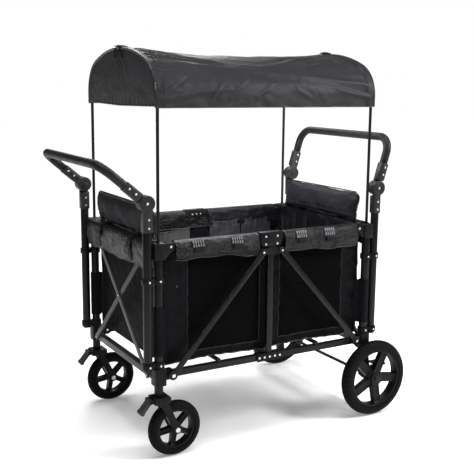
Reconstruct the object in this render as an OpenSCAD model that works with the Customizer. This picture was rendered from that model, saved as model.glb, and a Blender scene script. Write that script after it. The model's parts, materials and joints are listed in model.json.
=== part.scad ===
// Folding stroller wagon: four corner posts, rails that fold lengthwise, a push handle on
// locking hinges at each end, a fabric basket, and a canopy on two hoops.
// Millimetres, +Z up. The front, with the casters, points to -X and the left side to -Y.
// The origin is on the ground, under the middle of the whole wagon.

/* [Posts] */
// Distance between the front and rear posts, centre to centre
post_spacing = 800; // [760:10:900]
// Distance between the left and right posts, centre to centre
post_width = 540; // [520:10:640]
// Outside diameter of the posts and of the handle tubes
post_d = 28; // [26:1:30]
// Wall of the posts and of the handle tubes
tube_wall = 1.5; // [1:0.5:3]
// Wall of the moulded blocks round the posts
block_wall = 4; // [3:0.5:5]
// Height of a post cap
cap_h = 50; // [44:1:60]
// Roof of a post cap over the end of the post
cap_roof = 6; // [4:1:9]
// Height of a lower bracket
bracket_h = 56; // [46:1:60]
// Height of the lower bracket's middle below the pivot
bracket_drop = 4; // [2:1:8]

/* [Side rails] */
// Height of the top rails' pivots above the ground
top_pivot_z = 677; // [650:1:720]
// Height of the lower pivots above the ground
low_pivot_z = 272; // [268:1:300]
// Distance from a post's axis to the rail pivots beside it
end_pivot = 38; // [36:1:46]
// Distance from the middle of the wagon to the rail pivots there
mid_pivot = 22; // [22:1:28]
// Height of a rail
rail_h = 21; // [18:0.5:21]
// Thickness of a rail
rail_t = 18; // [14:0.5:19]
// Diameter of a rail's round ends
rail_eye_d = 22; // [22:0.5:23]
// Diameter of the pivot pins
pin_d = 8; // [6:0.5:9]
// Thickness of the ears that hold the rails
ear_t = 3.6; // [2.5:0.1:4]
// Length of an ear past its pivot
ear_past = 14; // [12:1:16]
// Diameter of the bars under the floor
floor_bar_d = 14; // [10:1:16]

/* [Middle of the sides] */
// Width of the square centre posts
centre_w = 20; // [18:0.5:20]
// Wall of the centre posts
centre_wall = 2; // [1:0.5:3]
// Thickness of the plates of the head and the foot
plate_t = 3; // [2:0.5:4]
// Width of the head
head_w = 84; // [80:1:90]
// Height of the head
head_h = 46.5; // [42:0.5:47]
// Width of the foot
foot_w = 96; // [80:1:110]
// Height of the foot
foot_h = 26; // [24:1:34]
// Height of a slider
slider_h = 28; // [24:1:30]
// Wall of a slider
slider_wall = 3.7; // [3.5:0.1:4]
// Distance from the middle to a slider's pivots
slider_pivot = 38; // [36:1:44]
// Width of a diagonal
diagonal_w = 18; // [14:1:19]
// Thickness of a diagonal
diagonal_t = 6; // [4:0.5:6]
// Diameter of a diagonal's lower eye
diagonal_low_eye = 30; // [24:1:32]
// Diameter of a diagonal's upper eye
diagonal_top_eye = 20; // [20:1:24]

/* [Ends] */
// Diameter of the round rail under the end rim
end_rail_d = 20; // [16:1:22]
// Side of the square bar between the lower brackets
end_bar_w = 22; // [18:1:24]
// Height of the square bar below the lower pivots
end_bar_drop = 10; // [6:1:12]
// Width of an X-brace
brace_w = 18; // [14:1:22]
// Thickness of an X-brace
brace_t = 6; // [4:0.5:7]
// Distance from a post's axis to the X-braces' ends, sideways
brace_inset = 42; // [40:1:70]
// Height of a tube clamp
clamp_h = 18; // [14:1:20]
// Height of the upper tube clamps above the ground
clamp_z = 574; // [480:1:600]

/* [Handles] */
// Distance from a post's axis to its handle tube's axis
tube_offset = 36; // [36:1:42]
// Height of the lower ends of the handle tubes
tube_low_z = 290; // [280:1:294]
// Height of the handle hinges above the ground
hinge_z = 814; // [800:1:860]
// Distance of the hinge outward from the handle tube's axis
hinge_offset = 4; // [0:1:6]
// Diameter of the hinge discs
hinge_d = 50; // [46:1:54]
// Width of the hinge sockets, seen from the side
socket_w = 30; // [28:1:31]
// Thickness of the hinge sockets, across the wagon
socket_t = 32; // [31:1:34]
// Diameter of the hinge sockets' rounding beyond their thickness
socket_over = 5; // [4:0.5:9]
// Distance from the hinge's axis to a socket's far end
socket_end = 88; // [80:1:96]
// Depth of the spigots in the sockets and tubes
spigot_depth = 40; // [30:1:44]
// Diameter of the handle bar's spigots
spigot_d = 20; // [16:1:22]
// Height of the turning disc's inner face from the tube's middle
arm_disc_reach = 19; // [18:0.5:20]
// Distance from the hinge's axis to the grip's axis
handle_len = 182; // [160:1:210]
// Outside diameter of the handle bar with its cover
grip_d = 28; // [24:1:30]
// Radius of the handle bar's bends
grip_bend_r = 55; // [44:1:60]
// Angle of the front handle above the horizontal
front_handle_angle = 40; // [-20:1:85]
// Angle of the rear handle above the horizontal
rear_handle_angle = 73; // [-20:1:85]
// Diameter of the lock buttons
button_d = 16; // [12:1:20]
// How far a lock button stands out
button_proud = 3; // [1:0.5:4]
// How far a lock button travels
button_travel = 4; // [2:0.5:4.5]

/* [Casters] */
// Diameter of the front tyres
caster_d = 180; // [160:1:186]
// Width of the front tyres
caster_w = 36; // [30:1:38]
// Height of the casters' tyres, from the rim to the tread
caster_tyre_h = 24; // [21:1:30]
// Thickness of the caster rims
caster_rim_t = 9; // [7:1:12]
// Distance from the swivel axis to the wheel's axis
caster_trail = 53; // [46:1:56]
// Diameter of the caster stems
stem_d = 12; // [10:1:14]
// Length of the caster stems above the crown
stem_len = 82; // [60:1:84]
// Thickness of the fork's crown
crown_t = 19; // [14:1:22]
// Gap between the crown and the end of the post
crown_gap = 1.5; // [1:0.5:3]
// Gap between the tyre and the crown
crown_clear = 4; // [3:0.5:6]
// Thickness of the fork's legs
fork_t = 6; // [4:0.5:8]
// Gap between the tyre and the fork's legs
fork_clear = 3; // [2:0.5:5]
// Diameter of the caster axles
caster_axle_d = 10; // [8:0.5:12]
// Width of the lock pedals
pedal_w = 29; // [24:1:32]
// Length of the lock pedals
pedal_len = 44; // [36:1:50]
// Thickness of the lock pedals
pedal_t = 11; // [9:0.5:12]
// Slope of the lock pedals below the horizontal
pedal_slope = 50; // [40:1:60]
// Half width of the fork's crown
crown_r = 24; // [22:1:26]
// Width of the fork's legs
fork_w = 23; // [22:1:28]
// Radius of the caster hubs' bosses
caster_boss_r = 17; // [16:1:22]
// Width of the casters' spokes at the rim
caster_spoke_w = 14; // [12:1:24]

/* [Rear wheels] */
// Diameter of the rear tyres
rear_d = 272; // [250:1:274]
// Width of the rear tyres
rear_w = 42; // [36:1:50]
// Height of the rear tyres, from the rim to the tread
rear_tyre_h = 30; // [26:1:36]
// Thickness of the rear rims
rear_rim_t = 9; // [7:1:12]
// Distance of the rear axle behind the rear posts
axle_back = 22; // [16:1:30]
// Diameter of the rear axle
axle_d = 12; // [10:0.5:14]
// Thickness of the legs that carry the rear axle
leg_t = 22; // [18:1:24]
// Width of the legs
leg_w = 30; // [26:1:34]
// Spokes of each wheel
spokes = 5; // [4:1:7]
// Angle of the spokes from upright
spoke_turn = 26; // [0:1:72]
// Length of a brake pedal from the axle
brake_len = 104; // [90:1:110]
// Width of a brake pedal's pad
brake_pad_w = 48; // [40:1:60]
// Length of a brake pedal's pad
brake_pad_len = 34; // [28:1:40]
// Thickness of a brake pedal's pad
brake_pad_t = 9; // [7:1:10]
// Width of a brake pedal's arm
brake_arm_w = 18; // [14:1:20]
// Thickness of a brake pedal's arm
brake_arm_t = 14; // [10:1:16]
// Height of a brake pedal's pad above the axle
brake_rise = 18; // [12:1:24]
// Radius of the rear hubs' bosses
rear_boss_r = 23; // [22:1:30]
// Width of the rear wheels' spokes at the rim
rear_spoke_w = 24; // [20:1:40]

/* [Basket] */
// Thickness of the basket's cloth
cloth_t = 3; // [2:0.5:3.5]
// Height of the side rim
side_rim_h = 70; // [60:1:80]
// Height of the end rim
end_rim_h = 84; // [70:1:90]
// Gap between the basket's end walls and the post axes
end_wall_in = 13; // [12:0.5:16]
// Gap between the basket's side walls and the post axes
side_wall_in = 19; // [19:0.5:22]
// Thickness of the floor boards
board_t = 8; // [5:1:9]
// Distance from a rail's pivot to the end of its floor board
board_start = 42; // [42:1:60]
// Distance from the wagon's middle to a floor board
board_gap = 3; // [2:0.5:6]
// Distance from a post's axis to a headrest's ends, sideways
headrest_inset = 42; // [35:1:70]
// Height of a headrest
headrest_h = 106; // [80:1:130]
// Thickness of a headrest at its crown
headrest_t = 36; // [24:1:40]
// Lean of a headrest outward
headrest_lean = 9; // [0:1:12]

/* [Canopy] */
// Diameter of the hoops
hoop_d = 10; // [8:0.5:12]
// Height of the hoops' lower ends
hoop_low_z = 540; // [500:1:620]
// Height at which the hoops start to curve
arch_z = 1133; // [1110:1:1160]
// Rise of the hoops' arch
arch_rise = 137; // [120:1:150]
// Radius of the hoops' corners
arch_corner_r = 105; // [80:1:110]
// Height of the canopy's lower edge
canopy_low_z = 1096; // [1060:1:1100]
// Thickness of the canopy's cloth
canopy_t = 2; // [1.5:0.5:3]
// Overhang of the roof past the hoops
canopy_over = 9; // [8:1:14]
// Sag of the roof between the hoops
canopy_sag = 18; // [0:1:30]
// Depth of the gathers in the end curtains
gather_depth = 4; // [0:0.5:6]
// Gathers across an end curtain
gathers = 9; // [5:1:11]

/* [Fits] */
// Gap round a pin, a shaft or a tube in its bore
fit = 0.05; // [0.02:0.01:0.1]
// Gap between pieces that are seated on each other
seat = 0.2; // [0.1:0.05:0.3]
// Gap between soft pieces and what carries them
soft_gap = 0.3; // [0.2:0.05:0.4]
// Gap beside a part that swings or slides
swing_gap = 0.4; // [0.3:0.05:0.5]

/* [Hidden] */
$fn = 64;
d = post_spacing / 2;
w = post_width / 2;
post_r = post_d / 2;
bore_r = post_r - tube_wall;
block_r = post_r + block_wall;
pin_r = pin_d / 2;
rivet_r = 3.6;
rivet_h = 2;
rivet_dome = 0.6;
bolt_over = 3;
bolt_t = 3;
eye_over = 1;
cut = 1;

// Post caps and lower brackets
cap_over = 2;
cap_top_z = top_pivot_z + rail_eye_d / 2 + cap_over;
cap_low_z = cap_top_z - cap_h;
post_top_z = cap_top_z - cap_roof;
bracket_low_z = low_pivot_z - bracket_drop - bracket_h / 2;
bracket_top_z = bracket_low_z + bracket_h;
ear_in = rail_t / 2 + swing_gap;
ear_out = ear_in + ear_t;
low_eye_r = ear_past + 2;
clamp_pad = 1;
clamp_low_z = bracket_top_z + clamp_h / 2 + clamp_pad;
clamp_r = min(block_r, tube_offset / 2);
brace_reach = w - brace_inset;

// Centre of each side, counted outward from the posts' plane
head_over = 4;
head_bevel = 8;
head_top_z = cap_top_z + head_over;
head_low_z = head_top_z - head_h;
slider_r = centre_w / 2 + slider_wall + swing_gap;
slider_drop = 2;
slider_ear_w = 20;
slider_boss_r = diagonal_top_eye / 2 - eye_over;
slider_top_z = head_low_z - slider_drop;
slider_pivot_z = slider_top_z - slider_h / 2;
diagonal_gap = 0.5;
layer_gap = 1.5;
rear_diagonal_in = max(slider_r, ear_out) + diagonal_gap;
rear_diagonal_out = rear_diagonal_in + diagonal_t;
front_diagonal_in = rear_diagonal_out + layer_gap;
front_diagonal_out = front_diagonal_in + diagonal_t;

// Handle hinges
hinge_x = -tube_offset - hinge_offset;
hinge_gap = 1;
socket_clear = 2;
socket_start = hinge_d / 2 + socket_clear;
socket_round = socket_t + socket_over;
socket_rivets = [0.55, 0.85];
button_seat = 7.5;
button_floor = arm_disc_reach - button_travel - button_seat;

// Wheels
caster_r = caster_d / 2;
caster_rim_d = caster_d - 2 * caster_tyre_h;
caster_rim_in_d = caster_rim_d - 2 * caster_rim_t;
crown_low_z = caster_d + crown_clear;
crown_top_z = crown_low_z + crown_t;
post_low_z = crown_top_z + crown_gap;
fork_in = caster_w / 2 + fork_clear;
fork_out = fork_in + fork_t;
fork_lean = crown_r / 3;
crown_back = 6;
pedal_ear_r = 7;
pedal_ear_t = 4;
pedal_pin_r = 3;
pedal_x = -crown_r - pedal_ear_r - 2;
pedal_z = crown_top_z - pedal_ear_r - 2;
rear_r = rear_d / 2;
rear_rim_d = rear_d - 2 * rear_tyre_h;
rear_rim_in_d = rear_rim_d - 2 * rear_rim_t;
wheel_clear = 1;
rear_y = rear_diagonal_out + wheel_clear + rear_w / 2;
rear_boss_w = rear_w + 2;
rear_post_seat = 20;
rear_post_low_z = bracket_low_z + rear_post_seat;
hub_gap = 2;
rim_inset = 3;
spoke_flare = 1.3;

// Basket and floor
headrest_w = post_width - 2 * headrest_inset;
floor_bar_z = low_pivot_z + rail_h / 2 + seat + floor_bar_d / 2;
floor_z = floor_bar_z + floor_bar_d / 2 + soft_gap;
end_rim_top_z = top_pivot_z + end_rail_d / 2 + soft_gap + cloth_t;
side_rim_top_z = top_pivot_z + rail_eye_d / 2 + soft_gap + cloth_t;
rim_clear = 2;
end_rim_out = end_bar_w / 2 + 2 * (brace_t + seat) + rivet_h + rim_clear;
basket_half = w - side_wall_in - cloth_t;
basket_corner = 2;
board_side = 4;
panel_drop = 10;
side_rim_back = 20;

// Canopy hoops: two corner arcs and a flat arc over the middle
arch_side = w - arch_corner_r;
arch_excess = pow(arch_side, 2) + pow(arch_rise, 2) - pow(arch_corner_r, 2);
arch_top_r = arch_excess / (2 * (arch_rise - arch_corner_r));
arch_top_z = arch_z + arch_rise - arch_top_r;
arch_half = atan2(arch_side, arch_top_r - arch_rise);
roof_clear = 0.7;
roof_gap = hoop_d / 2 + roof_clear;
bead_over = 0.15;
bead_gap = 0.1;

// The wagon is moved so that the origin lies under its middle
front_reach = d - hinge_x + handle_len * cos(front_handle_angle) + grip_d / 2;
rear_handle_reach = d - hinge_x + handle_len * cos(rear_handle_angle) + grip_d / 2;
rear_reach = max(d + axle_back + rear_r, rear_handle_reach);
x_shift = (front_reach - rear_reach) / 2;

frame_colour = [0.07, 0.07, 0.08];
moulding_colour = [0.12, 0.12, 0.13];
hinge_colour = [0.2, 0.2, 0.21];
rivet_colour = [0.75, 0.75, 0.76];
tyre_colour = [0.06, 0.06, 0.06];
cloth_colour = [0.1, 0.1, 0.11];
canopy_colour = [0.17, 0.17, 0.19];
pedal_colour = [0.35, 0.35, 0.36];

// Places: a corner's own frame has its post's axis at the origin, +X to the middle, -Y outward
module left_corner() { translate([x_shift - d, -w, 0]) children(); }
module right_corner() { mirror([0, 1, 0]) left_corner() children(); }
module front_corners() {
    left_corner() children();
    right_corner() children();
}
module left_rear_corner() { translate([x_shift + d, -w, 0]) mirror([1, 0, 0]) children(); }
module right_rear_corner() { mirror([0, 1, 0]) left_rear_corner() children(); }
module rear_corners() {
    left_rear_corner() children();
    right_rear_corner() children();
}
// An end's own frame has the origin on the ground between its posts, +X to the middle
module front_end() { translate([x_shift - d, 0, 0]) children(); }
module rear_end() { translate([x_shift + d, 0, 0]) mirror([1, 0, 0]) children(); }
// The middle of a side, with the wagon's +X
module side_middles() {
    translate([x_shift, -w, 0]) children();
    mirror([0, 1, 0]) translate([x_shift, -w, 0]) children();
}

// A flat shape drawn in X and Z, given its thickness along Y
module along_y(y0, y1) {
    translate([0, y1, 0]) rotate([90, 0, 0]) linear_extrude(y1 - y0) children();
}
// The same shape twice, on both sides of the middle, between two distances from it
module both_sides(near, far) {
    along_y(-far, -near) children();
    along_y(near, far) children();
}
// A flat shape drawn in Y and Z, given its length along X
module along_x(x0, x1) {
    translate([x0, 0, 0]) rotate([90, 0, 90]) linear_extrude(x1 - x0) children();
}
module rod_y(x, z, r, y0, y1) { translate([x, y1, z]) rotate([90, 0, 0]) cylinder(r=r, h=y1 - y0); }
module block(low, high) { translate(low) cube(high - low); }

// A bar between two points with a round eye at each
module link(p, q, width, eye_p, eye_q) {
    along = q - p;
    translate(p) circle(eye_p);
    translate(q) circle(eye_q);
    translate(p) rotate(atan2(along.y, along.x)) translate([0, -width / 2])
        square([norm(along), width]);
}
// An arc of round tube in the plane of Y and Z, with angles from +Y to +Z
module tube_arc(path_r, tube_r, from, to) {
    rotate([90, 0, 90]) rotate([0, 0, from]) rotate_extrude(angle=to - from)
        translate([path_r, 0]) circle(tube_r);
}
module rivet() { cylinder(r1=rivet_r, r2=rivet_r * rivet_dome, h=rivet_h); }
module rivet_y(x, y, z) { translate([x, y, z]) rotate([90, 0, 0]) rivet(); }
module rivet_x(x, y, z) { translate([x, y, z]) rotate([0, -90, 0]) rivet(); }

// A closed sheet between two surfaces that are given as functions of two shares from 0 to 1
module sheet(nu, nv, outer, inner) {
    n = (nu + 1) * (nv + 1);
    row = nv + 1;
    points = [for (f = [outer, inner], i = [0:nu], j = [0:nv]) f(i / nu, j / nv)];
    outer_faces = [
        for (i = [0:nu - 1], j = [0:nv - 1]) let (a = i * row + j)
        each [[a, a + 1, a + row + 1], [a, a + row + 1, a + row]]
    ];
    inner_faces = [for (f = outer_faces) [f[0] + n, f[2] + n, f[1] + n]];
    u_edges = [
        for (i = [0:nu - 1], s = [0, 1]) let (a = i * row + s * nv, b = a + row)
        each s == 0 ? [[a, b, b + n], [a, b + n, a + n]] : [[b, a, a + n], [b, a + n, b + n]]
    ];
    v_edges = [
        for (j = [0:nv - 1], s = [0, 1]) let (a = s * nu * row + j, b = a + 1)
        each s == 0 ? [[b, a, a + n], [b, a + n, b + n]] : [[a, b, b + n], [a, b + n, a + n]]
    ];
    polyhedron(points, concat(outer_faces, inner_faces, u_edges, v_edges), convexity=8);
}

// Corner pieces, in a corner's own frame
module post(low_z) {
    translate([0, 0, low_z]) difference() {
        cylinder(r=post_r, h=post_top_z - low_z);
        translate([0, 0, -cut]) cylinder(r=bore_r, h=post_top_z - low_z + 2 * cut);
    }
}
module post_cap() {
    ear_end = end_pivot + ear_past;
    difference() {
        union() {
            block([-block_r, -block_r, cap_low_z], [block_r, block_r, cap_top_z]);
            both_sides(ear_in, ear_out) polygon([
                [post_r, cap_low_z + cap_roof], [post_r, cap_top_z], [ear_end, cap_top_z],
                [ear_end, top_pivot_z - pin_d], [end_pivot, top_pivot_z - 2 * pin_d],
                [end_pivot - ear_past, cap_low_z + cap_roof]
            ]);
        }
        translate([0, 0, cap_low_z - cut]) cylinder(r=post_r + fit, h=post_top_z - cap_low_z + cut);
        translate([0, 0, cap_low_z]) cylinder(r=hoop_d / 2 + 2 * fit, h=cap_h + cut);
        rod_y(end_pivot, top_pivot_z, pin_r + fit, -w, w);
    }
}
module lower_ears() {
    both_sides(ear_in, ear_out) link(
        [post_r, low_pivot_z], [end_pivot, low_pivot_z],
        2 * low_eye_r - eye_over, low_eye_r, low_eye_r
    );
}
module lower_bracket() {
    difference() {
        union() {
            block([-block_r, -block_r, bracket_low_z], [block_r, block_r, bracket_top_z]);
            lower_ears();
        }
        translate([0, 0, bracket_low_z - cut]) cylinder(r=post_r + fit, h=bracket_h + 2 * cut);
        rod_y(end_pivot, low_pivot_z, pin_r + fit, -w, w);
    }
}
module rear_leg() {
    difference() {
        union() {
            block([-block_r, -block_r, bracket_low_z], [block_r, block_r, bracket_top_z]);
            lower_ears();
            along_y(-leg_t / 2, leg_t / 2) link(
                [0, bracket_low_z + leg_w / 2], [-axle_back, rear_r],
                leg_w, leg_w / 2 + eye_over, leg_w / 2 + bolt_over
            );
        }
        translate([0, 0, rear_post_low_z]) cylinder(r=post_r + fit, h=bracket_h);
        rod_y(end_pivot, low_pivot_z, pin_r + fit, -w, w);
        rod_y(-axle_back, rear_r, axle_d / 2 + fit, -w, w);
    }
}
module tube_clamp(z) {
    pad = rivet_r + 2;
    translate([0, 0, z - clamp_h / 2]) difference() {
        union() {
            for (x = [0, -tube_offset]) translate([x, 0, 0]) {
                cylinder(r=clamp_r, h=clamp_h);
                block([-pad, -clamp_r - clamp_pad, 0], [pad, 0, clamp_h]);
            }
            block([-tube_offset, -clamp_r / 2, 0], [0, clamp_r / 2, clamp_h]);
        }
        for (x = [0, -tube_offset]) translate([x, 0, -cut])
            cylinder(r=post_r + fit, h=clamp_h + 2 * cut);
    }
}
module stem_bush() {
    translate([0, 0, post_low_z]) difference() {
        cylinder(r=bore_r - fit, h=stem_len);
        translate([0, 0, -cut]) cylinder(r=stem_d / 2 + fit, h=stem_len + 2 * cut);
    }
}
module tube_clamps() { for (z = [clamp_low_z, clamp_z]) tube_clamp(z); }
module handle_tube() {
    len = hinge_z - socket_end - tube_low_z;
    translate([-tube_offset, 0, tube_low_z]) difference() {
        cylinder(r=post_r, h=len);
        translate([0, 0, tube_wall]) cylinder(r=bore_r, h=len);
    }
}
// A socket with rounded corners, between two distances across the wagon and two heights
module hinge_socket(near, far, from, to) {
    intersection() {
        block([-socket_w / 2, near, from], [socket_w / 2, far, to]);
        translate([0, 0, from]) cylinder(d=socket_round, h=to - from);
    }
}
// The fixed half of a hinge: outer disc, socket and a spigot in the handle tube
module hinge_base() {
    low = hinge_z - socket_end;
    thick = socket_t / 2;
    difference() {
        union() {
            rod_y(hinge_x, hinge_z, hinge_d / 2, -thick, -hinge_gap);
            translate([-tube_offset, 0, 0]) {
                hinge_socket(-thick, -hinge_gap, low, hinge_z);
                hinge_socket(-thick, thick, low, hinge_z - socket_start);
                translate([0, 0, low - spigot_depth]) cylinder(r=bore_r - fit, h=spigot_depth + cut);
            }
        }
        rod_y(hinge_x, hinge_z, pin_r + fit, -w, w);
    }
}
// The turning half of a hinge, drawn with its arm along +Z and its axis through the origin
module hinge_arm() {
    thick = socket_t / 2;
    difference() {
        union() {
            rod_y(0, 0, hinge_d / 2, hinge_gap, arm_disc_reach);
            hinge_socket(hinge_gap, thick, 0, socket_end);
            hinge_socket(-thick, thick, socket_start, socket_end);
        }
        rod_y(0, 0, pin_r + fit, -w, button_floor + cut);
        rod_y(0, 0, button_d / 2 + 2 * fit, button_floor, w);
        translate([0, 0, socket_end - spigot_depth])
            cylinder(r=spigot_d / 2 + fit, h=spigot_depth + cut);
    }
}
module lock_button() {
    rod_y(0, 0, button_d / 2, button_floor + button_travel, arm_disc_reach + button_proud);
}
module turned(angle) { translate([hinge_x, 0, hinge_z]) rotate([0, angle - 90, 0]) children(); }
// Pivot pins and rivets of a corner; the diagonal lies between the two given distances
module corner_pins(diagonal_in, diagonal_out) {
    rod_y(end_pivot, top_pivot_z, pin_r, -ear_out, ear_out);
    rivet_y(end_pivot, -ear_out, top_pivot_z);
    low_end = -diagonal_out - seat;
    rod_y(end_pivot, low_pivot_z, pin_r, low_end, ear_out);
    rod_y(end_pivot, low_pivot_z, pin_r + bolt_over, -diagonal_in + swing_gap, -ear_out);
    rod_y(end_pivot, low_pivot_z, pin_r + rivet_h, low_end - rivet_h, low_end);
    rod_y(hinge_x, hinge_z, pin_r, -socket_t / 2, button_floor - hinge_gap);
    rivet_y(hinge_x, -socket_t / 2, hinge_z);
    for (s = socket_rivets) rivet_y(-tube_offset, -socket_t / 2, hinge_z - s * socket_end);
    for (z = [clamp_low_z, clamp_z], x = [0, -tube_offset]) rivet_y(x, -clamp_r - clamp_pad, z);
}

// End pieces, in an end's own frame
end_bar_z = low_pivot_z - end_bar_drop;
brace_sides = [-1, 1];
module end_bars() {
    reach = w - block_r;
    half = end_bar_w / 2;
    brace_eye = brace_w / 2 + eye_over;
    rod_y(0, top_pivot_z, end_rail_d / 2, -reach, reach);
    block([-half, -reach, end_bar_z - half], [half, reach, end_bar_z + half]);
    for (i = [0, 1]) {
        outer = -half - seat - i * (brace_t + seat);
        low = [-brace_sides[i] * brace_reach, end_bar_z];
        high = [brace_sides[i] * brace_reach, top_pivot_z];
        along_x(outer - brace_t, outer) link(low, high, brace_w, brace_eye, brace_eye);
    }
}
module end_pins() {
    outer = -end_bar_w / 2 - 2 * (seat + brace_t);
    rivet_x(outer, 0, (end_bar_z + top_pivot_z) / 2);
    for (i = [0, 1]) rivet_x(outer + (1 - i) * (brace_t + seat), -brace_sides[i] * brace_reach, end_bar_z);
}
// End wall of the basket, with the rim over the round rail and a ledge at the floor
module end_panel() {
    wall_in = end_wall_in + cloth_t;
    ledge_end = end_pivot + board_start - basket_corner;
    half = basket_half - basket_corner;
    rim_face = -end_rim_out - cloth_t;
    rim_low_z = end_rim_top_z - end_rim_h;
    along_y(-half, half) polygon([
        [end_wall_in, floor_z], [ledge_end, floor_z], [ledge_end, floor_z + cloth_t],
        [wall_in, floor_z + cloth_t], [wall_in, end_rim_top_z], [rim_face, end_rim_top_z],
        [rim_face, rim_low_z], [-end_rim_out, rim_low_z],
        [-end_rim_out, end_rim_top_z - cloth_t], [end_wall_in, end_rim_top_z - cloth_t]
    ]);
}
// Padded flap: crowned faces, sides and top drawn in towards a thin sewn edge
module headrest() {
    edge_t = headrest_t / 3;
    corner = 0.42 * headrest_h;
    waist = 8;
    top_share = 0.96;
    foot_turn = 20;
    function half_width(v) =
        let (rest = max(0, v * headrest_h - (headrest_h - corner)))
        headrest_w / 2 - corner + sqrt(pow(corner, 2) - pow(rest, 2)) - waist * sin(180 * v) * (1 - v);
    function across(u) = pow(1 - pow(2 * u - 1, 4), 0.6);
    function upward(v) = pow(sin(foot_turn + (180 - 2 * foot_turn) * v), 0.8) * (1 - pow(v, 6));
    function crown(u, v) = (edge_t + (headrest_t - edge_t) * across(u) * upward(v)) / 2;
    function face(side) = function(u, v)
        let (share = top_share * v)
        [side * crown(u, share), (2 * u - 1) * half_width(share), v * headrest_h];
    foot_lift = crown(0.5, 0) * sin(headrest_lean);
    translate([end_wall_in, 0, end_rim_top_z + soft_gap + foot_lift]) rotate([0, -headrest_lean, 0])
        sheet(18, 10, face(1), face(-1));
}
module handle_bar(angle) {
    bend_z = handle_len - grip_bend_r;
    bend_y = w - grip_bend_r;
    turned(angle) {
        for (side = [-1, 1]) {
            translate([0, side * w, socket_end]) cylinder(r=grip_d / 2, h=bend_z - socket_end);
            translate([0, side * w, socket_end - spigot_depth + cut])
                cylinder(r=spigot_d / 2, h=spigot_depth);
            translate([0, side * bend_y, bend_z])
                tube_arc(grip_bend_r, grip_d / 2, side < 0 ? 90 : 0, side < 0 ? 180 : 90);
        }
        rod_y(0, handle_len, grip_d / 2, -bend_y, bend_y);
    }
}
// The hoop's lengths are joined by small beads, just wider than the rod
module hoop() {
    sweep = 90 - arch_half;
    bead_r = hoop_d / 2 + bead_over;
    corner_gap = bead_gap / arch_corner_r * 180 / PI;
    top_gap = bead_gap / arch_top_r * 180 / PI;
    for (side = [-1, 1]) {
        translate([0, side * w, hoop_low_z]) cylinder(r=hoop_d / 2, h=arch_z - bead_gap - hoop_low_z);
        translate([0, side * w, arch_z]) sphere(bead_r);
        translate([0, side * arch_side, arch_z]) {
            tube_arc(arch_corner_r, hoop_d / 2, (side < 0 ? 180 - sweep : 0) + corner_gap,
                (side < 0 ? 180 : sweep) - corner_gap);
            rotate([side * sweep, 0, 0]) translate([0, side * arch_corner_r, 0]) sphere(bead_r);
        }
    }
    translate([0, 0, arch_top_z])
        tube_arc(arch_top_r, hoop_d / 2, 90 - arch_half + top_gap, 90 + arch_half - top_gap);
}

// Casters, in a corner's own frame
module caster_fork() {
    ear_in = pedal_w / 2 + seat;
    pin_reach = pedal_w / 2 + pedal_ear_t / 2;
    difference() {
        union() {
            block([-crown_r, -fork_out, crown_low_z], [crown_r + crown_back, fork_out, crown_top_z]);
            both_sides(fork_in, fork_out) link(
                [fork_lean, crown_low_z], [caster_trail, caster_r],
                fork_w, fork_w / 2 + pedal_ear_t, fork_w / 2 + 2 * eye_over
            );
            translate([0, 0, crown_low_z]) cylinder(r=stem_d / 2, h=crown_t + crown_gap + stem_len);
            both_sides(ear_in, pedal_w / 2 + pedal_ear_t) link(
                [eye_over - crown_r, pedal_z], [pedal_x, pedal_z],
                2 * pedal_ear_r - eye_over, pedal_ear_r, pedal_ear_r
            );
            rod_y(pedal_x, pedal_z, pedal_pin_r, -pin_reach, pin_reach);
        }
        rod_y(caster_trail, caster_r, caster_axle_d / 2 + fit, -w, w);
    }
}
module caster_axle() {
    head_r = caster_axle_d / 2 + bolt_over;
    rod_y(caster_trail, caster_r, caster_axle_d / 2, -fork_out, fork_out);
    rod_y(caster_trail, caster_r, head_r, -fork_out - bolt_t, -fork_out);
    rod_y(caster_trail, caster_r, head_r, fork_out, fork_out + bolt_t);
}
module caster_pedal() {
    tip = [pedal_x - pedal_len * cos(pedal_slope), pedal_z - pedal_len * sin(pedal_slope)];
    difference() {
        along_y(-pedal_w / 2, pedal_w / 2)
            link([pedal_x, pedal_z], tip, pedal_t, pedal_t / 2 + eye_over, pedal_t / 2 + 2 * eye_over);
        rod_y(pedal_x, pedal_z, pedal_pin_r + fit, -w, w);
    }
}
// The spokes of a wheel, as one flat star
module spoke_star(reach, spoke_w) {
    root_w = spoke_w * spoke_flare;
    intersection() {
        circle(reach);
        for (i = [0:spokes - 1]) rotate(90 + spoke_turn + i * 360 / spokes)
            polygon([[0, -root_w / 2], [2 * reach, -spoke_w / 2], [2 * reach, spoke_w / 2], [0, root_w / 2]]);
    }
}
// Wheels turn about Y, with the wheel's middle at the given place
module hub(rim_d, rim_in_d, rim_w, boss_r, boss_w, spoke_w, spoke_t, bore_d) {
    rotate([90, 0, 0]) difference() {
        union() {
            linear_extrude(rim_w, center=true) difference() {
                circle(d=rim_d);
                circle(d=rim_in_d);
            }
            linear_extrude(spoke_t, center=true) spoke_star(rim_in_d / 2 + cut, spoke_w);
            linear_extrude(boss_w, center=true) circle(boss_r);
        }
        cylinder(d=bore_d + 2 * fit, h=2 * boss_w, center=true);
    }
}
module tyre(tyre_d, tyre_w, rim_d) {
    crown_at = tyre_d / 2 - tyre_w / 2;
    wall_w = tyre_w - eye_over;
    rotate([90, 0, 0]) rotate_extrude() difference() {
        union() {
            translate([crown_at, 0]) circle(d=tyre_w);
            translate([rim_d / 2 + fit, -wall_w / 2]) square([crown_at - rim_d / 2, wall_w]);
        }
        translate([0, -tyre_w]) square([rim_d / 2 + fit, 2 * tyre_w]);
    }
}
module caster_hub() {
    translate([caster_trail, 0, caster_r])
        hub(
            caster_rim_d, caster_rim_in_d, caster_w - 2 * rim_inset, caster_boss_r,
            2 * (fork_in - hub_gap), caster_spoke_w, caster_w / 2, caster_axle_d
        );
}
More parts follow.
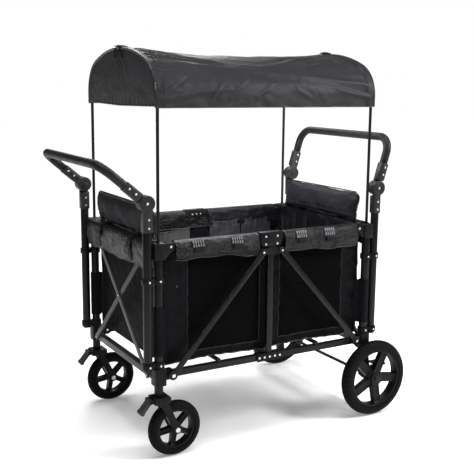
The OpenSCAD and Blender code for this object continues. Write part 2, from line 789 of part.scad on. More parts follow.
module caster_tyre() { translate([caster_trail, 0, caster_r]) tyre(caster_d, caster_w, caster_rim_d); }
module rear_hub() {
    translate([-axle_back, -rear_y, rear_r])
        hub(
            rear_rim_d, rear_rim_in_d, rear_w - 2 * rim_inset, rear_boss_r,
            rear_boss_w, rear_spoke_w, rear_w / 2, axle_d
        );
}
module rear_tyre() { translate([-axle_back, -rear_y, rear_r]) tyre(rear_d, rear_w, rear_rim_d); }
module brake_pedal() {
    inner = leg_t / 2 + hinge_gap;
    pad_eye = brake_pad_t / 2;
    far = -axle_back - brake_len + pad_eye;
    pad_z = rear_r + brake_rise;
    difference() {
        union() {
            along_y(inner, inner + brake_arm_t) link(
                [-axle_back, rear_r], [far + brake_pad_len / 2, pad_z],
                brake_arm_w, leg_w / 2, brake_arm_w / 2 + eye_over
            );
            along_y(inner, inner + brake_pad_w)
                link([far, pad_z], [far + brake_pad_len, pad_z], brake_pad_t - eye_over, pad_eye, pad_eye);
        }
        rod_y(-axle_back, rear_r, axle_d / 2 + 2 * fit, -w, w);
    }
}

// Rails, posts and sliders of a side, in the frame of the side's middle
module rail(x0, x1, z) {
    difference() {
        along_y(-rail_t / 2, rail_t / 2) link([x0, z], [x1, z], rail_h, rail_eye_d / 2, rail_eye_d / 2);
        for (x = [x0, x1]) rod_y(x, z, pin_r + fit, -w, w);
    }
}
module top_rails(side) { side_middles() rail(side * (d - end_pivot), side * mid_pivot, top_pivot_z); }
module bottom_rails(side) {
    side_middles() rail(side * (d - end_pivot), side * mid_pivot, low_pivot_z);
    reach = w + rail_t / 2;
    bar_x = side * (d - end_pivot + mid_pivot) / 2;
    translate([x_shift, 0, 0]) rod_y(bar_x, floor_bar_z, floor_bar_d / 2, -reach, reach);
}
module diagonals(side, inner, outer) {
    low = [side * (d - end_pivot), low_pivot_z];
    high = [side * slider_pivot, slider_pivot_z];
    side_middles() difference() {
        along_y(-outer, -inner)
            link(low, high, diagonal_w, diagonal_low_eye / 2, diagonal_top_eye / 2);
        rod_y(low.x, low.y, pin_r + fit, -w, w);
    }
}
module centre_post() {
    half = centre_w / 2;
    hollow = half - centre_wall;
    low = low_pivot_z - half;
    high = head_top_z - plate_t - cap_over;
    difference() {
        block([-half, -half, low], [half, half, high]);
        block([-hollow, -hollow, low - cut], [hollow, hollow, high + cut]);
    }
}
module plates(z) {
    half = centre_w / 2;
    both_sides(half, half + plate_t) children();
    for (side = [-1, 1]) rod_y(side * mid_pivot, z, pin_r, -half - plate_t, half + plate_t);
}
module centre_head() {
    half = head_w / 2;
    bevel_z = head_low_z + 2 * head_bevel;
    plates(top_pivot_z) polygon([
        [-half, head_top_z], [half, head_top_z], [half, bevel_z],
        [half - head_bevel, head_low_z], [head_bevel - half, head_low_z], [-half, bevel_z]
    ]);
    cap_y = centre_w / 2 + plate_t;
    block([-half, -cap_y, head_top_z - plate_t], [half, cap_y, head_top_z]);
}
module centre_foot() {
    plates(low_pivot_z) translate([0, low_pivot_z]) square([foot_w, foot_h], center=true);
}
module slider() {
    bore = centre_w / 2 + swing_gap;
    low = slider_top_z - slider_h;
    difference() {
        union() {
            block([-slider_r, -slider_r, low], [slider_r, slider_r, slider_top_z]);
            along_y(-slider_r, -bore) link(
                [-slider_pivot, slider_pivot_z], [slider_pivot, slider_pivot_z],
                slider_ear_w, slider_ear_w / 2 + eye_over, slider_ear_w / 2 + eye_over
            );
            rod_y(-slider_pivot, slider_pivot_z, slider_boss_r, -front_diagonal_in + soft_gap, -bore);
            rod_y(slider_pivot, slider_pivot_z, slider_boss_r, -rear_diagonal_in + soft_gap, -bore);
        }
        block([-bore, -bore, low - cut], [bore, bore, slider_top_z + cut]);
    }
}
module floor_board(side) {
    far = d - end_pivot - board_start;
    half = basket_half - board_side;
    translate([x_shift, 0, 0]) block(
        [side < 0 ? -far : board_gap, -half, floor_z],
        [side < 0 ? -board_gap : far, half, floor_z + board_t]
    );
}
module side_panel() {
    reach = d - end_wall_in - cloth_t - basket_corner;
    block(
        [-reach, side_wall_in, floor_z],
        [reach, side_wall_in + cloth_t, side_rim_top_z - cloth_t - panel_drop]
    );
}
module side_rim(side) {
    inner = side_wall_in - soft_gap;
    outer = -rail_t / 2 - soft_gap;
    low = side_rim_top_z - side_rim_h;
    back_low = low + side_rim_back;
    under = side_rim_top_z - cloth_t;
    from = slider_pivot + slider_ear_w / 2 + rim_clear + rivet_h;
    to = d - end_pivot - ear_past - rim_clear;
    along_x(side < 0 ? -to : from, side < 0 ? -from : to) polygon([
        [outer, under], [outer, low], [outer - cloth_t, low], [outer - cloth_t, side_rim_top_z],
        [inner, side_rim_top_z], [inner, back_low], [inner - cloth_t, back_low], [inner - cloth_t, under]
    ]);
}

// A point of the hoops' outline, moved outward; t goes from -1 at the left foot to 1 at the right
top_share = 0.4;
corner_share = 0.8;
function arch(t, out) =
    let (k = abs(t), s = t < 0 ? -1 : 1)
    k <= top_share
        ? let (a = k / top_share * arch_half)
            [s * (arch_top_r + out) * sin(a), arch_top_z + (arch_top_r + out) * cos(a)]
    : k <= corner_share
        ? let (a = arch_half + (k - top_share) / (corner_share - top_share) * (90 - arch_half))
            [s * (arch_side + (arch_corner_r + out) * sin(a)), arch_z + (arch_corner_r + out) * cos(a)]
    : [s * (w + out), arch_z - (k - corner_share) / (1 - corner_share) * (arch_z - canopy_low_z)];
// Roof sheet, level over the hoops and sagging between them
module roof() {
    columns = 10;
    side_sag = 0.35;
    function along(v) =
        let (share = 2 * v - 1)
        abs(share) > 1 - 1 / columns ? sign(share) * (d + canopy_over) : share * d / (1 - 2 / columns);
    function across(u) = side_sag + (1 - side_sag) * cos(90 * (2 * u - 1));
    function sag(u, x) = canopy_sag * (1 - pow(min(1, abs(x) / d), 2)) * across(u);
    function face(out) = function(u, v)
        let (x = along(v), p = arch(2 * u - 1, out - sag(u, x)))
        [x, p.x, p.y];
    sheet(40, columns, face(roof_gap), face(roof_gap + canopy_t));
}
// Half-round curtain at an end, gathered towards the top of the hoop
module curtain() {
    face_x = -hoop_d / 2 - soft_gap;
    top = arch(0, 0).y;
    fade = 150;
    clip = 40;
    belly = 14;
    hem_lift = 6;
    function fold(p) =
        let (away = norm([p.x, top - p.y]), turn = atan2(p.x, top + 1 - p.y))
        gather_depth * cos(2 * gathers * turn) * exp(-away / fade) * min(1, away / clip);
    function face(x) = function(u, v)
        let (side = 2 * u - 1, p = arch(side * corner_share, roof_gap - soft_gap))
        let (low = canopy_low_z + hem_lift * abs(side), q = [p.x, low + v * (p.y - low)])
        [x - belly * v * (1 - v) + fold(q) * (1 - v) * min(1, 4 * v), q.x, q.y];
    sheet(32, 8, face(face_x), face(face_x - canopy_t));
}

module front_posts() { color(frame_colour) front_corners() post(post_low_z); }
module rear_posts() { color(frame_colour) rear_corners() post(rear_post_low_z); }
module front_post_caps() { color(moulding_colour) front_corners() post_cap(); }
module rear_post_caps() { color(moulding_colour) rear_corners() post_cap(); }
module front_brackets() {
    color(moulding_colour) front_corners() {
        lower_bracket();
        tube_clamps();
        stem_bush();
    }
}
module rear_brackets() {
    color(moulding_colour) rear_corners() {
        rear_leg();
        tube_clamps();
    }
}
module front_end_bars() { color(frame_colour) front_end() end_bars(); }
module rear_end_bars() { color(frame_colour) rear_end() end_bars(); }
module front_handle_tubes() { color(frame_colour) front_corners() handle_tube(); }
module rear_handle_tubes() { color(frame_colour) rear_corners() handle_tube(); }
module front_hinge_bases() { color(hinge_colour) front_corners() hinge_base(); }
module rear_hinge_bases() { color(hinge_colour) rear_corners() hinge_base(); }
module front_pins() {
    color(rivet_colour) {
        front_corners() corner_pins(front_diagonal_in, front_diagonal_out);
        front_end() end_pins();
    }
}
module rear_pins() {
    color(rivet_colour) {
        rear_corners() corner_pins(rear_diagonal_in, rear_diagonal_out);
        rear_end() end_pins();
    }
}
module front_end_panel() { color(cloth_colour) front_end() end_panel(); }
module rear_end_panel() { color(cloth_colour) rear_end() end_panel(); }
module front_headrest() { color(cloth_colour) front_end() headrest(); }
module rear_headrest() { color(cloth_colour) rear_end() headrest(); }
module front_handle_bar() { color(frame_colour) front_end() handle_bar(front_handle_angle); }
module rear_handle_bar() { color(frame_colour) rear_end() handle_bar(rear_handle_angle); }
module front_hinge_arms() { color(hinge_colour) front_corners() turned(front_handle_angle) hinge_arm(); }
module rear_hinge_arms() { color(hinge_colour) rear_corners() turned(rear_handle_angle) hinge_arm(); }
module front_left_button() {
    color(hinge_colour) left_corner() turned(front_handle_angle) lock_button();
}
module front_right_button() {
    color(hinge_colour) right_corner() turned(front_handle_angle) lock_button();
}
module rear_left_button() {
    color(hinge_colour) left_rear_corner() turned(rear_handle_angle) lock_button();
}
module rear_right_button() {
    color(hinge_colour) right_rear_corner() turned(rear_handle_angle) lock_button();
}
module left_caster_fork() { color(moulding_colour) left_corner() caster_fork(); }
module right_caster_fork() { color(moulding_colour) right_corner() caster_fork(); }
module left_caster_axle() { color(rivet_colour) left_corner() caster_axle(); }
module right_caster_axle() { color(rivet_colour) right_corner() caster_axle(); }
module left_caster_hub() { color(moulding_colour) left_corner() caster_hub(); }
module right_caster_hub() { color(moulding_colour) right_corner() caster_hub(); }
module left_caster_tyre() { color(tyre_colour) left_corner() caster_tyre(); }
module right_caster_tyre() { color(tyre_colour) right_corner() caster_tyre(); }
module left_caster_pedal() { color(pedal_colour) left_corner() caster_pedal(); }
module right_caster_pedal() { color(pedal_colour) right_corner() caster_pedal(); }
module rear_axle() {
    end_y = w + rear_y + rear_boss_w / 2 + swing_gap;
    head_r = axle_d / 2 + bolt_over;
    color(rivet_colour) translate([x_shift + d + axle_back, 0, 0]) {
        rod_y(0, rear_r, axle_d / 2, -end_y, end_y);
        rod_y(0, rear_r, head_r, -end_y - bolt_t, -end_y);
        rod_y(0, rear_r, head_r, end_y, end_y + bolt_t);
    }
}
module left_rear_hub() { color(moulding_colour) left_rear_corner() rear_hub(); }
module right_rear_hub() { color(moulding_colour) right_rear_corner() rear_hub(); }
module left_rear_tyre() { color(tyre_colour) left_rear_corner() rear_tyre(); }
module right_rear_tyre() { color(tyre_colour) right_rear_corner() rear_tyre(); }
module left_brake_pedal() { color(pedal_colour) left_rear_corner() brake_pedal(); }
module right_brake_pedal() { color(pedal_colour) right_rear_corner() brake_pedal(); }
module front_top_rails() { color(frame_colour) top_rails(-1); }
module rear_top_rails() { color(frame_colour) top_rails(1); }
module front_bottom_rails() { color(frame_colour) bottom_rails(-1); }
module rear_bottom_rails() { color(frame_colour) bottom_rails(1); }
module front_diagonals() { color(frame_colour) diagonals(-1, front_diagonal_in, front_diagonal_out); }
module rear_diagonals() { color(frame_colour) diagonals(1, rear_diagonal_in, rear_diagonal_out); }
module centre_posts() {
    reach = w - centre_w / 2 - plate_t - seat;
    color(frame_colour) {
        side_middles() centre_post();
        translate([x_shift, 0, 0]) rod_y(0, low_pivot_z, centre_w / 2 - centre_wall, -reach, reach);
    }
}
module centre_heads() {
    color(moulding_colour) side_middles() {
        centre_head();
        centre_foot();
    }
}
module centre_sliders() { color(moulding_colour) side_middles() slider(); }
module front_floor() { color(cloth_colour) floor_board(-1); }
module rear_floor() { color(cloth_colour) floor_board(1); }
module side_panels() { color(cloth_colour) side_middles() side_panel(); }
module front_side_rims() { color(cloth_colour) side_middles() side_rim(-1); }
module rear_side_rims() { color(cloth_colour) side_middles() side_rim(1); }
module front_hoop() { color(frame_colour) front_end() hoop(); }
module rear_hoop() { color(frame_colour) rear_end() hoop(); }
module canopy() {
    color(canopy_colour) {
        translate([x_shift, 0, 0]) roof();
        front_end() curtain();
        rear_end() curtain();
    }
}

front_posts();
front_post_caps();
front_brackets();
front_end_bars();
front_handle_tubes();
front_hinge_bases();
front_pins();
front_end_panel();
front_headrest();
front_handle_bar();
front_hinge_arms();
front_left_button();
front_right_button();
left_caster_fork();
right_caster_fork();
left_caster_axle();
right_caster_axle();
left_caster_hub();
right_caster_hub();
left_caster_tyre();
right_caster_tyre();
left_caster_pedal();
right_caster_pedal();
rear_posts();
rear_post_caps();
rear_brackets();
rear_end_bars();
rear_handle_tubes();
rear_hinge_bases();
rear_pins();
rear_end_panel();
rear_headrest();
rear_handle_bar();
rear_hinge_arms();
rear_left_button();
rear_right_button();
rear_axle();
left_rear_hub();
right_rear_hub();
left_rear_tyre();
right_rear_tyre();
left_brake_pedal();
right_brake_pedal();
front_top_rails();
rear_top_rails();
front_bottom_rails();
rear_bottom_rails();
front_diagonals();
rear_diagonals();
centre_posts();
centre_heads();
centre_sliders();
front_floor();
rear_floor();
side_panels();
front_side_rims();
rear_side_rims();
front_hoop();
rear_hoop();
canopy();
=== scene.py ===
"""Looks of a folding stroller wagon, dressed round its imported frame.

Metres, +Z up. The front with the casters points to -X, and the side seen first to -Y.
"""
import json
import math

import bpy
from mathutils import Matrix, Vector, noise


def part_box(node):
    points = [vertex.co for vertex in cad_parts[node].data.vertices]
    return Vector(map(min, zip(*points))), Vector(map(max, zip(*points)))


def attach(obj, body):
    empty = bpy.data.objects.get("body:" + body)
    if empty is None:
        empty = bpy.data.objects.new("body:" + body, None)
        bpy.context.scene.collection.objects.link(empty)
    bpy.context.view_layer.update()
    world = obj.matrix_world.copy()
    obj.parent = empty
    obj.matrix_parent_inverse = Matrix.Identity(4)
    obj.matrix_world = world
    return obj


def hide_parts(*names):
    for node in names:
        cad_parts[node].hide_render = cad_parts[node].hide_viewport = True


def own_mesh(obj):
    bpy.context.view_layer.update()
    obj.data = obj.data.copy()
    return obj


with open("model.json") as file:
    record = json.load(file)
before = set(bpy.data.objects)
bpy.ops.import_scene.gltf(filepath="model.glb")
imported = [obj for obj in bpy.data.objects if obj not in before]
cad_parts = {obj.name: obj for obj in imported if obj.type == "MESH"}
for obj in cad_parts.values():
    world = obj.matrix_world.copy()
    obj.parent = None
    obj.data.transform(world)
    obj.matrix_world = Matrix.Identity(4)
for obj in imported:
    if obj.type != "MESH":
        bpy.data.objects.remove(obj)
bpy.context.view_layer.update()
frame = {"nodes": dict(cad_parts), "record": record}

# Places taken from the frame
posts_low, posts_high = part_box("front_posts")
POST_R = (posts_high.x - posts_low.x) / 2
POST_Y = posts_high.y - POST_R
FRONT_X = posts_low.x + POST_R
REAR_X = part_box("rear_posts")[0].x + POST_R
MID_X = (FRONT_X + REAR_X) / 2
HALF = (REAR_X - FRONT_X) / 2
hoop_low, hoop_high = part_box("front_hoop")
HOOP_R = (hoop_high.x - hoop_low.x) / 2
side_low, side_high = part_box("side_panels")
END_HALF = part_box("front_end_panel")[1].y
HEAD_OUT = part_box("centre_heads")[1].y

# The left side and the front end are -1, the right side and the rear end 1
SIDES = (-1, 1)
SIDE_NAME = {-1: "left", 1: "right"}
END_NAME = {-1: "front", 1: "rear"}
END_FRAME = {-1: "front_frame", 1: "rear_frame"}
POST_X = {-1: FRONT_X, 1: REAR_X}

# Thicknesses of cloth and webbing
CLOTH_T = 0.0022
THIN_T = 0.0016
POCKET_T = 0.0014
STRAP_T = 0.0018
END_TAB_T = 0.002

# Radii of piping and seams
PIPING_R = 0.0022
FINE_PIPING_R = 0.0014
INNER_PIPING_R = 0.0016
HEADREST_PIPING_R = 0.0026
ROOF_EDGE_R = 0.0026
ROOF_HEM_R = 0.0019
ROOF_SEAM_R = 0.0007
CURTAIN_EDGE_R = 0.0024
WINDOW_SEAM_R = 0.0018


# Small tools

SHARP = math.radians(40)
NEARLY_FLAT = math.radians(0.5)
DOUBLED = 0.00001
SLIVER = 0.000002


def clamp(value):
    return min(1.0, max(0.0, value))


def bell(x):
    return math.exp(-(x**2))


def waver(x, y, z):
    """Smooth noise at a place."""
    return noise.noise(Vector((x, y, z)))


def crumpled(x, y, z, octaves):
    """Hard folds of noise at a place, about their mean."""
    return noise.turbulence(Vector((x, y, z)), octaves, True) - 0.35


def edit_mode():
    bpy.ops.object.mode_set(mode="EDIT")


def object_mode():
    bpy.ops.object.mode_set(mode="OBJECT")


def pick_none():
    bpy.ops.object.select_all(action="DESELECT")


def pick(piece):
    """Only this piece is selected and active."""
    pick_none()
    piece.select_set(True)
    bpy.context.view_layer.objects.active = piece
    return piece


def apply_modifiers(piece):
    pick(piece)
    for modifier in list(piece.modifiers):
        bpy.ops.object.modifier_apply(modifier=modifier.name)
    return piece


def paint(piece, *materials):
    piece.data.materials.clear()
    for material in materials:
        piece.data.materials.append(material)
    return piece


def settle(piece, name, body, slot, *nodes):
    """Names a finished piece, lets it ride on its body and stand for the nodes it replaces."""
    piece.name = name
    piece.data.name = name
    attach(piece, body)
    if nodes:
        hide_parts(*nodes)
    return piece


def join(pieces):
    pick_none()
    for piece in pieces:
        piece.select_set(True)
    bpy.context.view_layer.objects.active = pieces[0]
    bpy.ops.object.join()
    return bpy.context.object


def smooth(piece, angle=35):
    pick(piece)
    bpy.ops.object.shade_smooth_by_angle(angle=math.radians(angle))
    return piece


def smooth_path(points):
    """A smooth line through the points, as a function of the share of its length."""
    points = [Vector(p) for p in points]
    reach = [0.0]
    for a, b in zip(points, points[1:]):
        reach.append(reach[-1] + (b - a).length)

    def place(share):
        at = clamp(share) * reach[-1]
        i = max(k for k in range(len(points) - 1) if reach[k] <= at + 1e-9)
        t = (at - reach[i]) / (reach[i + 1] - reach[i])
        before = points[max(i - 1, 0)]
        here, there = points[i], points[i + 1]
        after = points[min(i + 2, len(points) - 1)]
        return 0.5 * (
            2 * here
            + (there - before) * t
            + (2 * before - 5 * here + 4 * there - after) * t**2
            + (3 * here - before - 3 * there + after) * t**3
        )

    place.length = reach[-1]
    return place


def cloth_grid(columns, rows, surface, width, length):
    """A grid of cloth laid on a surface; its UV map is the flat cloth in metres."""
    pick_none()
    bpy.ops.mesh.primitive_grid_add(x_subdivisions=columns, y_subdivisions=rows, size=1)
    piece = bpy.context.object
    for vertex in piece.data.vertices:
        vertex.co = surface(vertex.co.x + 0.5, vertex.co.y + 0.5)
    for loop in piece.data.uv_layers.active.data:
        loop.uv = (loop.uv[0] * width, loop.uv[1] * length)
    return piece


def add_rounding(piece, levels):
    rounding = piece.modifiers.new("Rounding", "SUBSURF")
    rounding.levels = levels
    rounding.render_levels = levels


def thicken(piece, thickness, levels=1):
    """Gives a sheet its thickness and rounds it."""
    solid = piece.modifiers.new("Thickness", "SOLIDIFY")
    solid.thickness = thickness
    solid.offset = 0.0
    if levels:
        add_rounding(piece, levels)
    apply_modifiers(piece)
    edit_mode()
    bpy.ops.mesh.select_all(action="SELECT")
    bpy.ops.mesh.normals_make_consistent(inside=False)
    object_mode()
    bpy.ops.object.shade_smooth()
    return piece


def tube(points, radius, closed=False, sides=3):
    """A round tube along the points, as a mesh."""
    pick_none()
    bpy.ops.curve.primitive_bezier_curve_add()
    piece = bpy.context.object
    curve = piece.data
    curve.splines.clear()
    spline = curve.splines.new("POLY")
    spline.points.add(len(points) - 1)
    for point, place in zip(spline.points, points):
        point.co = (*place, 1)
    spline.use_cyclic_u = closed
    curve.bevel_depth = radius
    curve.bevel_resolution = sides
    curve.use_fill_caps = True
    pick(piece)
    bpy.ops.object.convert(target="MESH")
    piece = bpy.context.object
    bpy.ops.object.shade_smooth()
    return piece


def strap(path, across, width, thickness, columns):
    """Flat webbing along a path; across gives the direction of its width."""
    line = smooth_path(path)
    across = Vector(across).normalized()

    def place(s, t):
        return line(s) + across * (t - 0.5) * width

    return thicken(cloth_grid(columns, 4, place, line.length, width), thickness)


def along(place, steps, s=None, t=None):
    """Places on a line of a sheet; the one of s and t that is given stays fixed."""
    shares = [i / steps for i in range(steps + 1)]
    return [place(share, t) if s is None else place(s, share) for share in shares]


def make_box(at, size):
    pick_none()
    bpy.ops.mesh.primitive_cube_add(size=1, location=at, scale=size)
    piece = bpy.context.object
    bpy.ops.object.transform_apply(location=True, rotation=True, scale=True)
    return piece


def copy_node(node, name):
    """A copy of a frame node with its own mesh, picked."""
    piece = bpy.data.objects.new(name, frame["nodes"][node].data.copy())
    bpy.context.scene.collection.objects.link(piece)
    return pick(piece)


def weld():
    """Joins the doubled points of the picked piece, and leaves it in edit mode."""
    edit_mode()
    bpy.ops.mesh.select_all(action="SELECT")
    bpy.ops.mesh.remove_doubles(threshold=DOUBLED)


def choose(piece, kind, test):
    """Selects the edges or faces whose places pass the test, and leaves the piece in edit mode."""
    pick(piece)
    edit_mode()
    bpy.ops.mesh.select_mode(type=kind)
    bpy.ops.mesh.select_all(action="DESELECT")
    object_mode()
    mesh = piece.data
    for element in mesh.edges if kind == "EDGE" else mesh.polygons:
        element.select = test([mesh.vertices[i].co for i in element.vertices])
    edit_mode()


STUFFING_PRESSURE = 4.0
STUFFING_FRAMES = 20


def stuff(piece, cap, voxel=0.005):
    """Swells a closed form like a stuffed pad; no point moves further than the cap."""
    pick(piece)
    piece.data.remesh_voxel_size = voxel
    bpy.ops.object.voxel_remesh()
    flat = [vertex.co.copy() for vertex in piece.data.vertices]
    stuffing = piece.modifiers.new("Stuffing", "CLOTH")
    stuffing.settings.use_pressure = True
    stuffing.settings.uniform_pressure_force = STUFFING_PRESSURE
    stuffing.settings.effector_weights.gravity = 0
    for step in range(1, STUFFING_FRAMES + 1):
        bpy.context.scene.frame_set(step)
    bpy.ops.object.modifier_apply(modifier="Stuffing")
    for vertex, start in zip(piece.data.vertices, flat):
        move = vertex.co - start
        if move.length > cap:
            vertex.co = start + move.normalized() * cap
    bpy.context.scene.frame_set(1)


# Shader tools


def feed(tree, target, value):
    """Links a socket to the target, or sets a plain value there."""
    if isinstance(value, bpy.types.NodeSocket):
        tree.links.new(value, target)
    else:
        target.default_value = value


def calc(tree, operation, first, second=0.0, clamped=False):
    node = tree.nodes.new("ShaderNodeMath")
    node.operation = operation
    node.use_clamp = clamped
    feed(tree, node.inputs[0], first)
    feed(tree, node.inputs[1], second)
    return node.outputs[0]


def times(tree, first, second, clamped=False):
    return calc(tree, "MULTIPLY", first, second, clamped)


def split_place(tree, place):
    node = tree.nodes.new("ShaderNodeSeparateXYZ")
    tree.links.new(place, node.inputs[0])
    return node.outputs


def spread(tree, value, low, high, to_low=0.0, to_high=1.0):
    """Maps one range of values onto another."""
    node = tree.nodes.new("ShaderNodeMapRange")
    feed(tree, node.inputs["Value"], value)
    node.inputs["From Min"].default_value = low
    node.inputs["From Max"].default_value = high
    node.inputs["To Min"].default_value = to_low
    node.inputs["To Max"].default_value = to_high
    return node.outputs["Result"]


def noise_value(tree, vector, scale, detail=3.0, roughness=0.55):
    node = tree.nodes.new("ShaderNodeTexNoise")
    feed(tree, node.inputs["Vector"], vector)
    feed(tree, node.inputs["Scale"], scale)
    node.inputs["Detail"].default_value = detail
    node.inputs["Roughness"].default_value = roughness
    return node.outputs["Fac"]


def new_group(name, values, results):
    """A shader group that takes a place and some values, and gives values; with its two ends."""
    tree = bpy.data.node_groups.new(name, "ShaderNodeTree")
    tree.interface.new_socket("Vector", in_out="INPUT", socket_type="NodeSocketVector")
    for label, value in values.items():
        socket = tree.interface.new_socket(label, in_out="INPUT", socket_type="NodeSocketFloat")
        socket.default_value = value
    for label in results:
        tree.interface.new_socket(label, in_out="OUTPUT", socket_type="NodeSocketFloat")
    given, result = tree.nodes.new("NodeGroupInput"), tree.nodes.new("NodeGroupOutput")
    return tree, given.outputs, result.inputs


def make_weave():
    """Plain weave: threads along two directions that pass over and under each other."""
    tree, given, result = new_group("Weave", {"Threads": 900.0}, ["Height"])
    x, y, _ = split_place(tree, given["Vector"])
    turn = times(tree, given["Threads"], math.pi)
    warp = calc(tree, "SINE", times(tree, x, turn))
    weft = calc(tree, "SINE", times(tree, y, turn))
    over = calc(tree, "GREATER_THAN", times(tree, warp, weft), 0.0)
    under = calc(tree, "SUBTRACT", 1.0, over)
    upper = times(tree, over, calc(tree, "ABSOLUTE", warp))
    lower = times(tree, under, calc(tree, "ABSOLUTE", weft))
    tree.links.new(calc(tree, "ADD", upper, lower), result["Height"])
    return tree


def make_crumple():
    """Soft creases of well-used cloth, with painted shade that follows them: darker in the hollows,
    lighter on the ridges.
    """
    tree, given, result = new_group("Crumple", {"Scale": 14.0}, ["Height", "Painted_crease_shade"])
    broad = noise_value(tree, given["Vector"], given["Scale"], 2.0)
    fine = noise_value(tree, given["Vector"], times(tree, given["Scale"], 4.3))
    ridge = calc(tree, "ABSOLUTE", calc(tree, "SUBTRACT", fine, 0.5))
    height = calc(tree, "SUBTRACT", broad, times(tree, ridge, 0.5))
    tree.links.new(height, result["Height"])
    # Painted shade: the tone is the crease height, dark in the hollows and light on the ridges
    tree.links.new(spread(tree, height, 0.2, 0.7), result["Painted_crease_shade"])
    return tree


def make_grain():
    """Fine grain of a moulded or coated surface, and broad smudges."""
    tree, given, result = new_group("Grain", {"Scale": 900.0}, ["Height", "Smudge"])
    fine = noise_value(tree, given["Vector"], given["Scale"], 2.0)
    broad = noise_value(tree, given["Vector"], 22.0, 4.0, 0.6)
    tree.links.new(fine, result["Height"])
    tree.links.new(spread(tree, broad, 0.3, 0.7), result["Smudge"])
    return tree


def make_edge_wear_and_highlight():
    """Rubbed patches along rounded edges, which carry the attribute named edge; the patches are also a
    painted highlight on the edges.
    """
    tree, given, result = new_group("Edge wear and highlight", {"Amount": 0.5}, ["Mask"])
    edge = tree.nodes.new("ShaderNodeAttribute")
    edge.attribute_name = "edge"
    patch = noise_value(tree, given["Vector"], 60.0, 4.0, 0.65)
    rubbed_and_lit = times(tree, edge.outputs["Fac"], spread(tree, patch, 0.42, 0.62))
    tree.links.new(times(tree, rubbed_and_lit, given["Amount"], clamped=True), result["Mask"])
    return tree


def make_tread():
    """Ribs across a tyre's crown; the vector is centred on the wheel, with Y along its axle."""
    tree, given, result = new_group("Tread", {"Ribs": 60.0, "Shoulder": 0.08}, ["Height", "Groove"])
    x, y, z = split_place(tree, given["Vector"])
    off = calc(tree, "ABSOLUTE", y)
    turn = times(tree, calc(tree, "ARCTAN2", z, x), given["Ribs"])
    phase = calc(tree, "ADD", turn, times(tree, off, 160.0))
    ribs = spread(tree, calc(tree, "SINE", phase), -0.35, 0.1)
    far = calc(tree, "SQRT", calc(tree, "ADD", times(tree, x, x), times(tree, z, z)))
    crown = calc(tree, "GREATER_THAN", far, given["Shoulder"])
    middle = calc(tree, "LESS_THAN", off, 0.0016)
    between = calc(tree, "SUBTRACT", 1.0, ribs)
    groove = calc(tree, "MAXIMUM", times(tree, between, crown), times(tree, middle, crown))
    tree.links.new(groove, result["Groove"])
    tree.links.new(calc(tree, "SUBTRACT", 1.0, groove), result["Height"])
    return tree


WEAVE = make_weave()
CRUMPLE = make_crumple()
GRAIN = make_grain()
EDGE_WEAR_AND_HIGHLIGHT = make_edge_wear_and_highlight()
TREAD = make_tread()


def new_material(name):
    material = bpy.data.materials.new(name)
    material.use_nodes = True
    tree = material.node_tree
    return material, tree, tree.nodes["Principled BSDF"]


def use_group(tree, group, **values):
    node = tree.nodes.new("ShaderNodeGroup")
    node.node_tree = group
    for label, value in values.items():
        feed(tree, node.inputs[label], value)
    return node.outputs


def object_place(tree, at=(0, 0, 0)):
    """Object coordinates, moved so that a place on the piece is their origin."""
    place = tree.nodes.new("ShaderNodeTexCoord")
    shift = tree.nodes.new("ShaderNodeMapping")
    shift.inputs["Location"].default_value = [-value for value in at]
    tree.links.new(place.outputs["Object"], shift.inputs["Vector"])
    return shift.outputs["Vector"]


def flat_place(tree):
    """The flat cloth's own place, in metres."""
    return tree.nodes.new("ShaderNodeTexCoord").outputs["UV"]


def bump(tree, height, distance, strength, under=None):
    node = tree.nodes.new("ShaderNodeBump")
    node.inputs["Strength"].default_value = strength
    node.inputs["Distance"].default_value = distance
    tree.links.new(height, node.inputs["Height"])
    if under is not None:
        tree.links.new(under, node.inputs["Normal"])
    return node.outputs["Normal"]


def blend_colours(tree, share, first, second):
    node = tree.nodes.new("ShaderNodeMix")
    node.data_type = "RGBA"
    feed(tree, node.inputs["Factor"], share)
    feed(tree, node.inputs["A"], (*first, 1) if isinstance(first, tuple) else first)
    feed(tree, node.inputs["B"], (*second, 1) if isinstance(second, tuple) else second)
    return node.outputs["Result"]


def grey(value, cool=0.02):
    """A near-black or grey tone with a slight cool cast."""
    return (value, value * (1 - 0.2 * cool), value * (1 + cool))


# Materials


def dress(tree, shader, colour, rough, normal, shine):
    """Links a material's colour, roughness and bumps, and sets its shine."""
    tree.links.new(colour, shader.inputs["Base Color"])
    tree.links.new(rough, shader.inputs["Roughness"])
    tree.links.new(normal, shader.inputs["Normal"])
    shader.inputs["Specular IOR Level"].default_value = shine


def grained(name, tones, rubbed_and_lit, wear_and_highlight, rough, shine, scale, relief):
    """A grained surface with broad smudges, lighter along its rounded edges: abrasion there, and a
    painted highlight.
    """
    material, tree, shader = new_material(name)
    place = object_place(tree)
    grain = use_group(tree, GRAIN, Vector=place, Scale=scale)
    wear_and_highlight_mask = use_group(tree, EDGE_WEAR_AND_HIGHLIGHT, Vector=place, Amount=wear_and_highlight)["Mask"]
    base = blend_colours(tree, grain["Smudge"], *tones)
    # Abraded patches along the edges, which also serve as a painted highlight
    colour = blend_colours(tree, wear_and_highlight_mask, base, rubbed_and_lit)
    smudged = spread(tree, grain["Smudge"], 0.0, 1.0, *rough)
    dress(tree, shader, colour, smudged, bump(tree, grain["Height"], *relief), shine)
    return material


def coated_metal(name, tone, gloss, wear_and_highlight=0.4):
    """Powder-coated tube: a satin coat with a fine orange peel."""
    # grey(0.16) is the edges' colour, for abrasion and painted highlight
    return grained(name, (grey(tone * 0.85), grey(tone * 1.2)), grey(0.16), wear_and_highlight,
                   (gloss - 0.05, gloss + 0.09), 0.16, 1400.0, (0.0001, 0.5))


